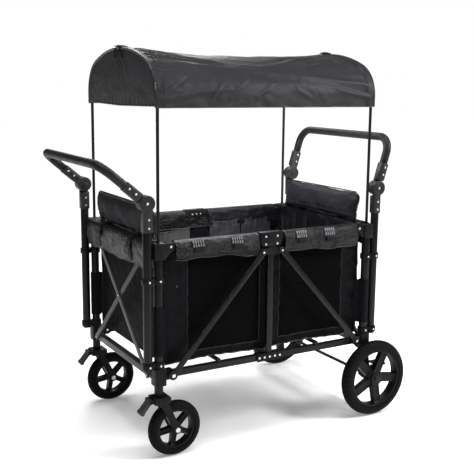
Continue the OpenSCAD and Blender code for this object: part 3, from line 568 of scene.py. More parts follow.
def moulded(name, tone, gloss, wear_and_highlight=0.5, shine=0.14):
    """Moulded plastic."""
    # The lighter edge colour stands for abrasion and a painted highlight
    return grained(name, (grey(tone * 0.85), grey(tone * 1.18)), grey(tone * 3 + 0.05), wear_and_highlight,
                   (gloss - 0.06, gloss + 0.1), shine, 800.0, (0.0003, 0.6))


def plated_steel(name):
    """Bright zinc plating with fine turning marks."""
    material, tree, shader = new_material(name)
    grain = use_group(tree, GRAIN, Vector=object_place(tree), Scale=2200.0)
    colour = blend_colours(tree, grain["Smudge"], grey(0.5), grey(0.72))
    rough = spread(tree, grain["Height"], 0.3, 0.7, 0.2, 0.38)
    dress(tree, shader, colour, rough, bump(tree, grain["Height"], 0.0001, 0.4), 0.5)
    shader.inputs["Metallic"].default_value = 1.0
    return material


def tyre_rubber(name, centre, ribs, shoulder):
    """Foam rubber with slanted ribs on the crown and a dusty sidewall; painted shade darkens the grooves
    between the ribs.
    """
    material, tree, shader = new_material(name)
    place = object_place(tree, centre)
    tread = use_group(tree, TREAD, Vector=place, Ribs=ribs, Shoulder=shoulder)
    grain = use_group(tree, GRAIN, Vector=place, Scale=700.0)
    base = blend_colours(tree, grain["Smudge"], grey(0.004), grey(0.0065))
    # Painted shade: the grooves between the ribs are darker than the rubber
    colour = blend_colours(tree, tread["Groove"], base, grey(0.003))
    rough = spread(tree, grain["Smudge"], 0.0, 1.0, 0.5, 0.68)
    ribbed = bump(tree, tread["Height"], 0.0022, 1.0)
    dress(tree, shader, colour, rough, bump(tree, grain["Height"], 0.0003, 0.5, ribbed), 0.05)
    return material


# Cool cast of the dyed cloth
DYE = 0.16


def cloth(name, tone, place, crease, crease_scale, threads=700.0, rough=0.5, shine=0.03):
    """Woven polyester with soft creases; painted shade darkens its creases and the gaps between its
    threads.
    """
    material, tree, shader = new_material(name)
    where = place(tree)
    weave = use_group(tree, WEAVE, Vector=where, Threads=threads)["Height"]
    crumple = use_group(tree, CRUMPLE, Vector=where, Scale=crease_scale)
    fleck = spread(tree, noise_value(tree, where, 240.0, 2.0), 0.3, 0.7)
    # Random flecks of the cloth's own tone, mixed with painted shade in the creases
    fleck_and_crease_shade = times(tree, calc(tree, "ADD", crumple["Painted_crease_shade"], fleck), 0.5)
    shade = blend_colours(tree, fleck_and_crease_shade, grey(tone * 0.5, DYE), grey(tone * 1.5, DYE))
    # Painted shade between the threads: the colour darkens where the weave is low
    colour = blend_colours(tree, weave, grey(tone * 0.6, DYE), shade)
    threaded = spread(tree, weave, 0.0, 1.0, rough + 0.1, rough - 0.06)
    creased = bump(tree, crumple["Height"], crease, 0.9)
    dress(tree, shader, colour, threaded, bump(tree, weave, 0.00025, 0.6, creased), shine)
    return material


def window_mesh(name, tone, holes, cover):
    """Knitted mesh: fine threads round open holes that let the inside show."""
    material, tree, shader = new_material(name)
    where = flat_place(tree)
    weave = use_group(tree, WEAVE, Vector=where, Threads=holes)["Height"]
    crumple = use_group(tree, CRUMPLE, Vector=where, Scale=5.0)
    # Painted shade: the mesh is darker in its creases and lighter on their ridges
    colour = blend_colours(tree, crumple["Painted_crease_shade"], grey(tone * 0.7), grey(tone * 1.3))
    rough = spread(tree, crumple["Painted_crease_shade"], 0.0, 1.0, 0.6, 0.8)
    dress(tree, shader, colour, rough, bump(tree, crumple["Height"], 0.004, 0.8), 0.01)
    tree.links.new(spread(tree, weave, 0.35, 0.6, 1.0, cover), shader.inputs["Alpha"])
    return material


def in_front(tree):
    """Place across and up an end of the wagon, so that the weave lies on the Y-Z plane."""
    x, y, z = split_place(tree, tree.nodes.new("ShaderNodeTexCoord").outputs["Object"])
    turned = tree.nodes.new("ShaderNodeCombineXYZ")
    for part, target in zip((y, z, x), turned.inputs):
        tree.links.new(part, target)
    return turned.outputs["Vector"]


FRAME_PAINT = coated_metal("Satin black coat", 0.0045, 0.33)
# The end bars carry the frame's black coat, lightened for a painted reflection
LIT_BRACE_PAINT = coated_metal("Satin coat with painted reflection", 0.055, 0.36)
GRIP_COAT = coated_metal("Grip cover", 0.01, 0.46, wear_and_highlight=0.2)
MOULDING = moulded("Black moulding", 0.006, 0.4, shine=0.1)
HINGE_GREY = moulded("Dark grey moulding", 0.02, 0.42)
PEDAL_GREY = moulded("Mid grey moulding", 0.03, 0.5)
RIB_GREY = moulded("Pale rib moulding", 0.25, 0.45, wear_and_highlight=0.1)
STEEL = plated_steel("Zinc plating")
BASKET_CLOTH = cloth("Basket cloth", 0.008, flat_place, 0.009, 26.0, rough=0.4, shine=0.02)
END_CLOTH = cloth("End wall cloth", 0.009, in_front, 0.006, 16.0)
RIM_CLOTH = cloth("Rim cloth", 0.0075, flat_place, 0.012, 20.0, rough=0.23, shine=0.17)
PAD_CLOTH = cloth("Pad cloth", 0.019, in_front, 0.006, 13.0, rough=0.45)
# Dark grey pocket cloth, lightened as painted light for the shaded inside of the basket
LIT_POCKET_CLOTH = cloth("Pocket cloth with painted light", 0.045, flat_place, 0.008, 18.0, rough=0.4, shine=0.3)
MAT_CLOTH = cloth("Mat cloth", 0.012, object_place, 0.003, 12.0)
CANOPY_CLOTH = cloth("Canopy cloth", 0.0187, flat_place, 0.003, 6.0, 620.0, rough=0.42, shine=0.15)
WEBBING = cloth("Webbing", 0.015, flat_place, 0.0006, 40.0, 420.0)
BINDING = cloth("Binding tape", 0.012, object_place, 0.0008, 50.0, 500.0, rough=0.26, shine=0.5)
SEAM_TAPE = cloth("Seam tape", 0.03, object_place, 0.0008, 50.0, 500.0)
WINDOW = window_mesh("Window mesh", 0.003, holes=1300.0, cover=0.94)
# Grey mesh pocket whose pale tone is partly a painted reflection
POCKET_MESH_WITH_REFLECTION = window_mesh("Pocket mesh with painted reflection", 0.07, holes=700.0, cover=0.85)


def taped(points, radius, tape=BINDING, sides=3):
    """Piping, a seam or a bar along the points."""
    return paint(tube(points, radius, sides=sides), tape)


# Frame pieces with rounded edges

# Edges of the handle sockets that are longer than this are rounded more
SOCKET_EDGE = 0.03


def round_long_edges(piece, width):
    """Rounds those of the chosen edges that run along a socket, more than its ends."""
    object_mode()
    places = piece.data.vertices
    for edge in piece.data.edges:
        first, second = (places[i].co for i in edge.vertices)
        edge.select = edge.select and (first - second).length > SOCKET_EDGE
    edit_mode()
    bpy.ops.mesh.bevel(offset=width, segments=4, affect="EDGES", clamp_overlap=True)
    bpy.ops.mesh.select_all(action="DESELECT")


# Spokes: the shares of a hub's radius that they lie between, their borders, and how deep they are sunk
SPOKE_FROM, SPOKE_TO = 0.15, 0.93
SPOKE_BORDER = 0.0045
SPOKE_SINK = 0.004
SPOKE_CORNER = 0.0006


def sink_spokes(piece, node):
    """Sinks the faces of a wheel's spokes below their borders."""
    low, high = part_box(node)
    centre = (low + high) / 2
    reach = (high.z - low.z) / 2
    bpy.ops.mesh.select_mode(type="FACE")
    object_mode()
    mesh = piece.data
    for face in mesh.polygons:
        places = [mesh.vertices[i].co for i in face.vertices]
        far = [math.hypot(at.x - centre.x, at.z - centre.z) / reach for at in places]
        face.select = abs(face.normal.y) > 0.99 and SPOKE_FROM < min(far) and max(far) < SPOKE_TO
    edit_mode()
    bpy.ops.mesh.inset(thickness=SPOKE_BORDER, depth=-SPOKE_SINK)
    bpy.ops.mesh.remove_doubles(threshold=SPOKE_CORNER)
    bpy.ops.mesh.select_mode(type="EDGE")
    bpy.ops.mesh.select_all(action="DESELECT")


def body_of(node):
    """The body that a frame node belongs to."""
    bodies = frame["record"]["behaviour"]["bodies"]
    return next(name for name, nodes in bodies.items() if node in nodes)


def rounded_node(node, width, material, slot, long_width=0.0, spokes=False):
    """A copy of a frame node with its sharp edges rounded; the new faces carry the attribute edge."""
    piece = paint(copy_node(node, node + "_rounded"), material, material)
    weld()
    bpy.ops.mesh.select_mode(type="EDGE")
    bpy.ops.mesh.dissolve_limited(angle_limit=NEARLY_FLAT)
    bpy.ops.mesh.select_all(action="DESELECT")
    if spokes:
        sink_spokes(piece, node)
    bpy.ops.mesh.edges_select_sharp(sharpness=SHARP)
    if long_width:
        round_long_edges(piece, long_width)
        bpy.ops.mesh.edges_select_sharp(sharpness=SHARP)
    if width:
        bpy.ops.mesh.bevel(offset=width, segments=2, affect="EDGES", clamp_overlap=True, material=1)
    if width and not spokes:
        bpy.ops.mesh.select_all(action="SELECT")
        bpy.ops.mesh.dissolve_degenerate(threshold=SLIVER)
    object_mode()
    edge = piece.data.attributes.new("edge", "FLOAT", "FACE")
    edge.data.foreach_set("value", [float(face.material_index) for face in piece.data.polygons])
    for face in piece.data.polygons:
        face.material_index = 0
    paint(smooth(piece), material)
    settle(piece, node + "_rounded", body_of(node), slot, node)


def at_ends(*names):
    return [f"{end}_{name}" for name in names for end in END_NAME.values()]


def at_sides(*names):
    return [f"{side}_{name}" for name in names for side in SIDE_NAME.values()]


BUTTONS = [f"{end}_{button}" for end in END_NAME.values() for button in at_sides("button")]
# Nodes, the width of their rounded edges, material and slot
ROUND_EDGES = [
    (at_ends("post_caps"), 0.0025, MOULDING, "moulding"),
    (at_ends("brackets"), 0.0018, MOULDING, "moulding"),
    (["centre_heads", "centre_sliders"], 0.0009, MOULDING, "moulding"),
    (at_sides("caster_fork"), 0.002, MOULDING, "moulding"),
    (BUTTONS, 0.0015, HINGE_GREY, "hinge_grey"),
    (at_sides("caster_pedal"), 0.0017, PEDAL_GREY, "pedal_grey"),
    (at_sides("brake_pedal"), 0.002, MOULDING, "pedal_grey"),
    (at_ends("end_bars"), 0.0014, LIT_BRACE_PAINT, "frame_paint"),
    (at_ends("diagonals"), 0.0014, FRAME_PAINT, "frame_paint"),
    (at_ends("top_rails", "bottom_rails"), 0.0025, FRAME_PAINT, "frame_paint"),
    (["centre_posts"], 0.0018, FRAME_PAINT, "frame_paint"),
    (at_ends("posts", "handle_tubes"), 0.0004, FRAME_PAINT, "frame_paint"),
    (at_ends("hoop"), 0.0, FRAME_PAINT, "frame_paint"),
    (at_ends("handle_bar"), 0.0, GRIP_COAT, "grip"),
    (at_ends("pins") + at_sides("caster_axle"), 0.0005, STEEL, "steel"),
    (["rear_axle"], 0.0008, FRAME_PAINT, "steel"),
]
for nodes, width, material, slot in ROUND_EDGES:
    for node in nodes:
        rounded_node(node, width, material, slot)
for node in at_ends("hinge_bases", "hinge_arms"):
    rounded_node(node, 0.0015, HINGE_GREY, "hinge_grey", long_width=0.006)
for node in at_sides("caster_hub", "rear_hub"):
    rounded_node(node, 0.0015, MOULDING, "moulding", spokes=True)

TYRE_SHOULDER = 0.009


def make_tyre(node, ribs):
    low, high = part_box(node)
    radius = (high.z - low.z) / 2
    rubber = tyre_rubber(node + " rubber", (low + high) / 2, ribs, radius - TYRE_SHOULDER)
    rounded_node(node, 0.0, rubber, "tyre")


for name, ribs in (("caster_tyre", 34.0), ("rear_tyre", 46.0)):
    for node in at_sides(name):
        make_tyre(node, ribs)


# Canopy: a roof sheet over two hoops, and a gathered half-round curtain at each end

HOOP_CORNER_R = 0.105
HOOP_SPRING_Z = 1.133
CANOPY_EDGE_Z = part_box("canopy")[0].z
ROOF_GAP = HOOP_R + 0.0015
ROOF_SAG = 0.018
ROOF_OVER = 0.009
# Double seam along the roof's ends: how far in from the edge, and how far it stands out
ROOF_SEAMS = ((0.026, 0.0012), (0.031, 0.001))
HOOP_RISE = hoop_high.z - HOOP_R - HOOP_SPRING_Z
HOOP_SIDE = POST_Y - HOOP_CORNER_R
HOOP_TOP_R = (HOOP_SIDE**2 + HOOP_RISE**2 - HOOP_CORNER_R**2) / (2 * (HOOP_RISE - HOOP_CORNER_R))
HOOP_TOP_Z = HOOP_SPRING_Z + HOOP_RISE - HOOP_TOP_R
HOOP_HALF = math.atan2(HOOP_SIDE, HOOP_TOP_R - HOOP_RISE)
TOP_RUN = HOOP_TOP_R * HOOP_HALF
CORNER_RUN = HOOP_CORNER_R * (math.pi / 2 - HOOP_HALF)
SIDE_RUN = HOOP_SPRING_Z - CANOPY_EDGE_Z
HALF_RUN = TOP_RUN + CORNER_RUN + SIDE_RUN


def hoop_point(run, out):
    """A place on the hoop's outline, moved outward; run is the length from the top, left is negative."""
    side = -1 if run < 0 else 1
    far = abs(run)
    if far <= TOP_RUN:
        turn = far / HOOP_TOP_R
        reach = HOOP_TOP_R + out
        return side * reach * math.sin(turn), HOOP_TOP_Z + reach * math.cos(turn)
    if far <= TOP_RUN + CORNER_RUN:
        turn = HOOP_HALF + (far - TOP_RUN) / HOOP_CORNER_R
        reach = HOOP_CORNER_R + out
        return side * (HOOP_SIDE + reach * math.sin(turn)), HOOP_SPRING_Z + reach * math.cos(turn)
    return side * (POST_Y + out), HOOP_SPRING_Z - (far - TOP_RUN - CORNER_RUN)


def crease(x, run, start, end, width, height):
    """A fold along a line on the roof: a ridge with a hollow beside it, highest at its start."""
    line = Vector((end[0] - start[0], end[1] - start[1]))
    to = Vector((x - start[0], run - start[1]))
    share = to.dot(line) / line.length_squared
    past = max(0.0, share - 1, -share) * line.length
    sway = 0.016 * waver(share * 2.6, start[0] * 9, start[1] * 9)
    off = to.cross(line) / line.length + sway * (1 - abs(2 * share - 1))
    hollow = 0.6 * bell((off - 1.9 * width) / (1.3 * width))
    ridge = bell(off / width) - hollow
    return height * max(0.1, 1 - share) ** 0.8 * ridge * bell(past / (2 * width))


# Folds of the roof, as (x, run) places where they start and end, with their width and height
ROOF_CREASES = [
    ((-0.4, -0.06), (-0.06, -0.25), 0.009, 0.006),
    ((-0.4, -0.1), (0.02, -0.26), 0.007, 0.005),
    ((-0.37, -0.215), (0.38, -0.29), 0.011, 0.005),
    ((-0.39, -0.15), (0.12, -0.24), 0.008, 0.005),
    ((-0.39, -0.18), (-0.16, -0.28), 0.006, 0.0045),
    ((-0.39, -0.25), (-0.1, -0.245), 0.006, 0.004),
    ((-0.39, -0.32), (-0.2, -0.22), 0.006, 0.0045),
    ((-0.39, -0.35), (-0.1, -0.31), 0.006, 0.004),
    ((-0.39, -0.02), (-0.1, -0.09), 0.008, 0.004),
    ((0.26, -0.09), (0.0, -0.22), 0.012, 0.0035),
    ((0.37, -0.06), (0.05, -0.2), 0.01, 0.0035),
    ((0.31, -0.1), (0.37, -0.3), 0.009, 0.003),
    ((0.39, -0.16), (0.14, -0.22), 0.009, 0.003),
    ((0.39, -0.3), (0.1, -0.26), 0.008, 0.003),
    ((0.39, -0.34), (0.2, -0.3), 0.006, 0.004),
    ((-0.15, -0.345), (-0.06, -0.26), 0.005, 0.0035),
    ((-0.21, -0.335), (-0.15, -0.28), 0.005, 0.0035),
    ((-0.05, -0.34), (0.03, -0.28), 0.006, 0.0025),
    ((0.14, -0.335), (0.06, -0.28), 0.006, 0.0025),
    ((-0.39, 0.08), (0.06, 0.24), 0.009, 0.006),
    ((-0.39, 0.16), (-0.05, 0.27), 0.007, 0.005),
    ((-0.39, 0.3), (-0.12, 0.22), 0.007, 0.0045),
    ((0.39, 0.09), (0.0, 0.23), 0.009, 0.005),
    ((0.39, 0.29), (0.12, 0.25), 0.007, 0.0045),
    ((0.3, 0.21), (-0.3, 0.28), 0.01, 0.004),
    ((0.02, 0.335), (0.1, 0.27), 0.005, 0.0035),
]


def roof_place(s, t):
    """A place on the roof; s goes from the front to the rear, and t from the left to the right."""
    x = (2 * s - 1) * (HALF + ROOF_OVER)
    run = (2 * t - 1) * HALF_RUN
    held = max(0.0, 1 - (abs(x) / HALF) ** 2)
    across = 0.35 + 0.65 * math.cos(math.pi / 2 * run / HALF_RUN)
    free = clamp((HALF - abs(x)) / 0.03)
    folds = sum(crease(x, run, *fold) for fold in ROOF_CREASES)
    ripple = 0.0035 * waver(x * 7, run * 12, 1.7)
    ripple += 0.0012 * waver(x * 34, run * 40, 2.0)
    hem = max(0.0, (abs(run) - HALF_RUN + 0.03) / 0.03)
    hem_wave = 0.0015 * hem * math.sin(x * 63) * (1 + waver(x * 11, 0, 5))
    out = ROOF_GAP - ROOF_SAG * held * across + free * (folds + ripple + hem_wave)
    y, z = hoop_point(run, out)
    return Vector((MID_X + x, y, z))


def raised_seam(at, lift):
    """A place on the roof, moved up on its top and outward on its sides."""
    if abs(at.y) < POST_Y - 0.02:
        return at + Vector((0, 0, lift))
    return at + Vector((0, math.copysign(lift, at.y), 0))


def make_roof():
    width = 2 * (HALF + ROOF_OVER)
    length = 2 * (HALF_RUN + (HOOP_HALF + CORNER_RUN / HOOP_CORNER_R) * ROOF_GAP)
    roof = cloth_grid(200, 170, roof_place, width, length)
    thicken(roof, THIN_T, levels=0)
    paint(roof, CANOPY_CLOTH)
    settle(roof, "canopy_roof", "front_hoop", "canopy_cloth", "canopy")
    runs = [HALF_RUN * (2 * i / 80 - 1) for i in range(81)]
    trims = []
    for end in SIDES:
        edge_x = end * (HALF + ROOF_OVER)
        edge = [Vector((MID_X + edge_x, *hoop_point(run, ROOF_GAP))) for run in runs]
        trims.append(taped(edge, ROOF_EDGE_R))
        for inset, lift in ROOF_SEAMS:
            share = (edge_x - end * inset) / width + 0.5
            seam = [raised_seam(at, lift) for at in along(roof_place, 120, s=share)]
            trims.append(taped(seam, ROOF_SEAM_R, sides=1))
    trims += [taped(along(roof_place, 90, t=t), ROOF_HEM_R) for t in (0.0, 1.0)]
    trim = settle(join(trims), "canopy_binding", "front_hoop", "canopy_cloth")
    for piece in (roof, trim):
        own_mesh(piece)


def curtain_place(end, s, t):
    """A place on an end curtain; t goes from the hem up to the hoop."""
    side = 2 * s - 1
    run = side * (TOP_RUN + CORNER_RUN)
    y, top = hoop_point(run, HOOP_R - 0.001)
    low = CANOPY_EDGE_Z + 0.006 * abs(side)
    z = low + t * (top - low)
    apex = HOOP_SPRING_Z + HOOP_RISE
    away = math.hypot(y, apex - z)
    turn = math.atan2(y, apex + 0.002 - z)
    gather = min(1.0, away / 0.03) * max(0.0, 1 - away / 0.13) ** 1.5
    folds = 0.007 * gather * (1 - 2 * abs(math.sin(7.5 * turn + 0.9 * math.sin(3 * turn))) ** 0.7)
    hem = 0.0016 * math.exp(-t / 0.09) * math.sin(y * 210 + 1.3 * math.sin(y * 33))
    belly = 0.012 * t * (1 - t) * 1.2
    slack = 0.004 * waver(y * 11, z * 13, 3.1 * end)
    slack += 0.0012 * waver(y * 40, z * 40, 2 * end)
    out = HOOP_R + 0.0018 + belly + (folds + slack) * (1 - t) * min(1.0, 5 * t) + hem
    return Vector((POST_X[end] + end * out, y, z))


def make_curtain(end):
    name = "canopy_" + END_NAME[end]
    hoop = END_NAME[end] + "_hoop"
    width = 2 * POST_Y
    height = hoop_high.z - CANOPY_EDGE_Z

    def place(s, t):
        return curtain_place(end, s, t)

    curtain = cloth_grid(170, 64, place, width, height)
    thicken(curtain, THIN_T, levels=0)
    paint(curtain, CANOPY_CLOTH)
    settle(curtain, name + "_curtain", hoop, "canopy_cloth", "canopy")
    edges = [taped(along(place, 80, t=t), CURTAIN_EDGE_R) for t in (0.0, 1.0)]
    settle(join(edges), name + "_binding", hoop, "canopy_cloth")


make_roof()
for end in SIDES:
    make_curtain(end)


# Basket: cloth rims over the top rails, and side walls with mesh windows

RIM_TOP = 0.6925
# The rim's section, as places outward from the rail and up
SIDE_RIM_SECTION = smooth_path([
    (0.011, 0.622, 0), (0.0182, 0.634, 0), (0.02, 0.652, 0), (0.0185, 0.67, 0),
    (0.013, 0.685, 0), (0.005, 0.6914, 0), (-0.004, RIM_TOP, 0), (-0.0145, 0.6905, 0),
    (-0.0215, 0.684, 0), (-0.0245, 0.664, 0), (-0.0255, 0.645, 0), (-0.0252, 0.628, 0),
])
RIM_CLIPS = [-0.272, -0.133, 0.113, 0.228]
CLIP_PINCH = 0.024


def side_rim_place(side, x, t):
    """A place on a side rim; t goes from the outer lower edge over the rail to the inside."""
    at = SIDE_RIM_SECTION(t)
    outer = max(0.0, 1 - t / 0.38)
    pinch = sum(bell((x - clip) / CLIP_PINCH) for clip in RIM_CLIPS)
    lift = (0.005 * math.sin(x * 21 + side) + 0.0025 * math.sin(x * 57 + 2 * side)) * outer
    lift += 0.024 * outer * max(0.0, -x / HALF)
    free = clamp((abs(x) - 0.06) / 0.04)
    crumple = crumpled(x * 17, t * 7, 3 * side, 3)
    loose = min(1.0, 2 * outer) * free * (1 - 0.9 * min(1.0, pinch))
    swell = (0.002 * math.sin(x * 34 + 1.1 * side) + 0.021 * crumple) * loose
    out = at.x + max(-0.0014, min(0.009, swell) - 0.0016 * pinch * outer)
    return Vector((MID_X + x, side * (POST_Y + out), at.y + lift * 0.8))


# Webbing clips over the rims: the band's width, length and stretch across the rim
CLIP_W = 0.042
CLIP_LENGTH = 0.06
CLIP_BAND = (0.27, 0.44)
# How far out and up the band stands on the rim, and its ribs and bar on the band
BAND_OFF = (0.0022, 0.0016)
RIB_OFF = (0.0012, 0.0004)
BAR_OFF = (0.003, 0.0012)
CLIP_RIBS = 5
RIB_R = 0.0021
BAR_R = 0.0012
# The loose tail, as places from the foot of the band
CLIP_TAIL = [(0, 0, 0), (0.002, 0.004, -0.006), (0.0, 0.0045, -0.013), (-0.003, 0.002, -0.018)]


def make_rim_clip(side, x):
    """A webbing clip over the rim: a dark band with pale upright ribs, a bar across and a short tail."""
    start, stop = CLIP_BAND

    def place(s, t, out=0.0, up=0.0):
        at = side_rim_place(side, x + (s - 0.5) * CLIP_W, start + (stop - start) * t)
        return at + Vector((0, side * (BAND_OFF[0] + out), BAND_OFF[1] + up))

    parts = [paint(thicken(cloth_grid(10, 16, place, CLIP_W, CLIP_LENGTH), THIN_T), WEBBING)]
    for i in range(CLIP_RIBS):
        rib = [place((i + 0.5) / CLIP_RIBS, 0.08 + 0.84 * k / 12, *RIB_OFF) for k in range(13)]
        parts.append(taped(rib, RIB_R, RIB_GREY, sides=2))
    tail = [place(0.5, 0.04) + Vector((aside, side * out, up)) for aside, out, up in CLIP_TAIL]
    parts.append(paint(strap(tail, (1, 0, 0), CLIP_W * 0.8, THIN_T, 10), WEBBING))
    bar = [place(k / 8, 0.5, *BAR_OFF) for k in range(9)]
    parts.append(taped(bar, BAR_R, WEBBING, sides=1))
    return join(parts)


def make_side_rim(end, side):
    """Rim over one top rail."""
    node = END_NAME[end] + "_side_rims"
    body = END_NAME[end] + "_top_rails"
    name = f"{END_NAME[end]}_{SIDE_NAME[side]}_rim"
    low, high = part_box(node)
    x0, x1 = low.x - MID_X, high.x - MID_X
    length = SIDE_RIM_SECTION.length

    def place(s, t):
        return side_rim_place(side, x0 + (x1 - x0) * s, t)

    rim = cloth_grid(90, 38, place, x1 - x0, length)
    thicken(rim, CLOTH_T)
    paint(rim, RIM_CLOTH)
    settle(rim, name, body, "basket_cloth", node)
    piping = [taped(along(place, 60, t=0.0), PIPING_R), taped(along(place, 60, t=1.0), INNER_PIPING_R)]
    piping += [taped(along(place, 30, s=s), FINE_PIPING_R) for s in (0.0, 1.0)]
    trim = settle(join(piping), name + "_piping", body, "basket_cloth")
    clips = [make_rim_clip(side, x) for x in RIM_CLIPS if x0 < x < x1]
    clip = settle(join(clips), name + "_clips", body, "moulding")
    for piece in (rim, trim, clip):
        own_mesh(piece)


# Side walls: where their columns end, from the wagon's middle, and the number of faces in each.
# The mesh windows fill the second and the fourth.
WALL_COLUMNS = [(-0.382, 0), (-0.291, 12), (-0.025, 30), (0.05, 10), (0.311, 30), (0.382, 10)]
WALL_COUNT = sum(count for _, count in WALL_COLUMNS)
WALL_ROWS = 40
WALL_LOW_ROWS = 4
WALL_SPLIT = WALL_LOW_ROWS / WALL_ROWS
WALL_SWELL = 0.0085
WINDOW_LOW = 0.324
WINDOW_HIGH = 0.64


def wall_x(share):
    """Place along a side wall for a share of its columns."""
    at = share * WALL_COUNT
    done = 0
    for (left, _), (right, count) in zip(WALL_COLUMNS, WALL_COLUMNS[1:]):
        if at <= done + count + 1e-6:
            return left + (right - left) * (at - done) / count
        done += count
    return WALL_COLUMNS[-1][0]


def in_window(x):
    """Whether a place along a side wall lies in one of its windows."""
    places = [place for place, _ in WALL_COLUMNS]
    return places[1] < x < places[2] or places[3] < x < places[4]


def wall_z(share):
    """Height on a side wall for a share of its rows; the low rows lie below the windows."""
    if share <= WALL_SPLIT:
        return side_low.z + (WINDOW_LOW - side_low.z) * share / WALL_SPLIT
    return WINDOW_LOW + (side_high.z - WINDOW_LOW) * (share - WALL_SPLIT) / (1 - WALL_SPLIT)


def side_wall_place(side, s, t):
    """A place on a side wall; s goes from the front to the rear, and t up."""
    x, z = wall_x(s), wall_z(t)
    up = (z - side_low.z) / (side_high.z - side_low.z)
    bow = math.sin(math.pi * clamp(up))
    near_post = clamp((abs(x) - 0.02) / 0.04)
    out = 0.0045 * bow * near_post * (0.6 + 0.4 * math.cos(x * 12))
    if not in_window(x):
        out += 0.0036 * math.sin(z * 120 + 2.5 * math.sin(x * 30 + z * 9)) * bow * near_post
        out += 0.011 * crumpled(x * 24, z * 30, side, 2) * near_post
    if z < WINDOW_LOW:
        out += 0.0026 * math.sin(x * 150 + 2 * math.sin(x * 31)) * near_post
    out = WALL_SWELL * math.tanh(out / WALL_SWELL)
    sag = 0.0028 * math.sin(x * 17 + side) * max(0.0, 1 - up / 0.12)
    return Vector((MID_X + x, side * (side_high.y - 0.0015 + out), z + sag))


def make_window_seam(side, place, left, right):
    """Tape round a window, down one column's end, along the foot and up the other's."""
    first, last = (sum(count for _, count in WALL_COLUMNS[: column + 1]) / WALL_COUNT
                   for column in (left, right))
    seam = [place(first, 1 - (1 - WALL_SPLIT) * i / 30) for i in range(31)]
    seam += [place(first + (last - first) * i / 30, WALL_SPLIT) for i in range(1, 31)]
    seam += [place(last, WALL_SPLIT + (1 - WALL_SPLIT) * i / 30) for i in range(1, 31)]
    return taped([at + Vector((0, side * 0.001, 0)) for at in seam], WINDOW_SEAM_R, SEAM_TAPE)


def make_side_wall(side):
    name = SIDE_NAME[side] + "_wall"
    width = side_high.x - side_low.x
    height = side_high.z - side_low.z

    def place(s, t):
        return side_wall_place(side, s, t)

    wall = cloth_grid(WALL_COUNT, WALL_ROWS, place, width, height)
    paint(wall, BASKET_CLOTH, WINDOW)
    for face in wall.data.polygons:
        at = face.center
        face.material_index = int(in_window(at.x - MID_X) and WINDOW_LOW < at.z < WINDOW_HIGH)
    thicken(wall, THIN_T)
    settle(wall, name, "front_frame", "basket_cloth", "side_panels")
    trims = [make_window_seam(side, place, *columns) for columns in ((1, 2), (3, 4))]
    trims.append(taped(along(place, 90, t=0.0), PIPING_R))
    trim = settle(join(trims), name + "_binding", "front_frame", "basket_cloth")
    for piece in (wall, trim):
        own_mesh(piece)


for side in SIDES:
    make_side_wall(side)
    for end in SIDES:
        make_side_rim(end, side)


# End walls: one cloth from the outer rim over the round rail and down to the floor

END_SECTION = smooth_path([
    (-0.0285, 0.607, 0), (-0.0335, 0.635, 0), (-0.0345, 0.665, 0), (-0.031, 0.684, 0),
    (-0.021, 0.6915, 0), (-0.006, 0.6928, 0), (0.0075, 0.6915, 0), (0.0142, 0.684, 0),
    (0.0155, 0.64, 0), (0.0168, 0.5, 0), (0.0152, 0.36, 0), (0.0158, 0.312, 0),
    (0.021, 0.3005, 0), (0.04, 0.2985, 0), (0.077, 0.2982, 0),
])
END_RIM_SHARE = 0.16
END_RIM_LOW = 0.6
END_CLIPS = [-0.128, 0.128]


def end_wall_place(end, s, t):
    """A place on an end wall; t goes from the outer rim to the floor."""
    at = END_SECTION(t)
    y = (2 * s - 1) * END_HALF
    rim = max(0.0, 1 - t / END_RIM_SHARE)
    wall = math.sin(math.pi * clamp((t - 0.3) / 0.55))
    crumple = crumpled(y * 14, t * 12, 2 * end, 2)
    ripple = 0.007 * min(0.8, crumple) * (min(1.0, 2 * rim) + 0.5 * wall)
    lift = (0.003 * math.sin(y * 26 + end) + 0.0015 * math.sin(y * 61)) * rim
    pinch = sum(bell((y - clip) / CLIP_PINCH) for clip in END_CLIPS) * rim
    inward = at.x - rim * 0.0012 * math.sin(y * 40 + end) - ripple + 0.0015 * pinch
    return Vector((POST_X[end] - end * inward, y, at.y + lift))


def make_end_wall(end):
    name, body = END_NAME[end], END_FRAME[end]
    width = 2 * END_HALF

    def place(s, t):
        return end_wall_place(end, s, t)

    wall = cloth_grid(80, 90, place, width, END_SECTION.length)
    paint(wall, RIM_CLOTH, END_CLOTH)
    for face in wall.data.polygons:
        face.material_index = int(face.center.z < END_RIM_LOW)
    thicken(wall, CLOTH_T)
    settle(wall, name + "_end_wall", body, "basket_cloth", name + "_end_panel")
    piping = [taped(along(place, 80, t=0.0), PIPING_R)]
    piping += [taped(along(place, 90, s=s), FINE_PIPING_R) for s in (0.0, 1.0)]
    settle(join(piping), name + "_end_piping", body, "basket_cloth")


for end in SIDES:
    make_end_wall(end)


# Headrests and floor mats

HEADREST_SEAM = 0.28
HEADREST_SWELL = 0.006
MAT_SWELL = 0.004


def make_headrest_piping(name, body, pad):
    """Piping up one side of a headrest, round its corners and down the other side."""
    places = [vertex.co for vertex in pad.data.vertices]
    low, top = min(at.z for at in places), max(at.z for at in places)
    rise = []
    for i in range(31):
        z = low + (top - 0.001 - low) * math.sin(math.pi / 2 * i / 30)
        near = [at for at in places if abs(at.z - z) < 0.004]
        middle = (min(at.x for at in near) + max(at.x for at in near)) / 2
        rise.append((middle, max(at.y for at in near), z))
    line = [(x, -y, z) for x, y, z in rise] + rise[::-1]
    settle(taped(line, HEADREST_PIPING_R), name + "_headrest_piping", body, "basket_cloth")


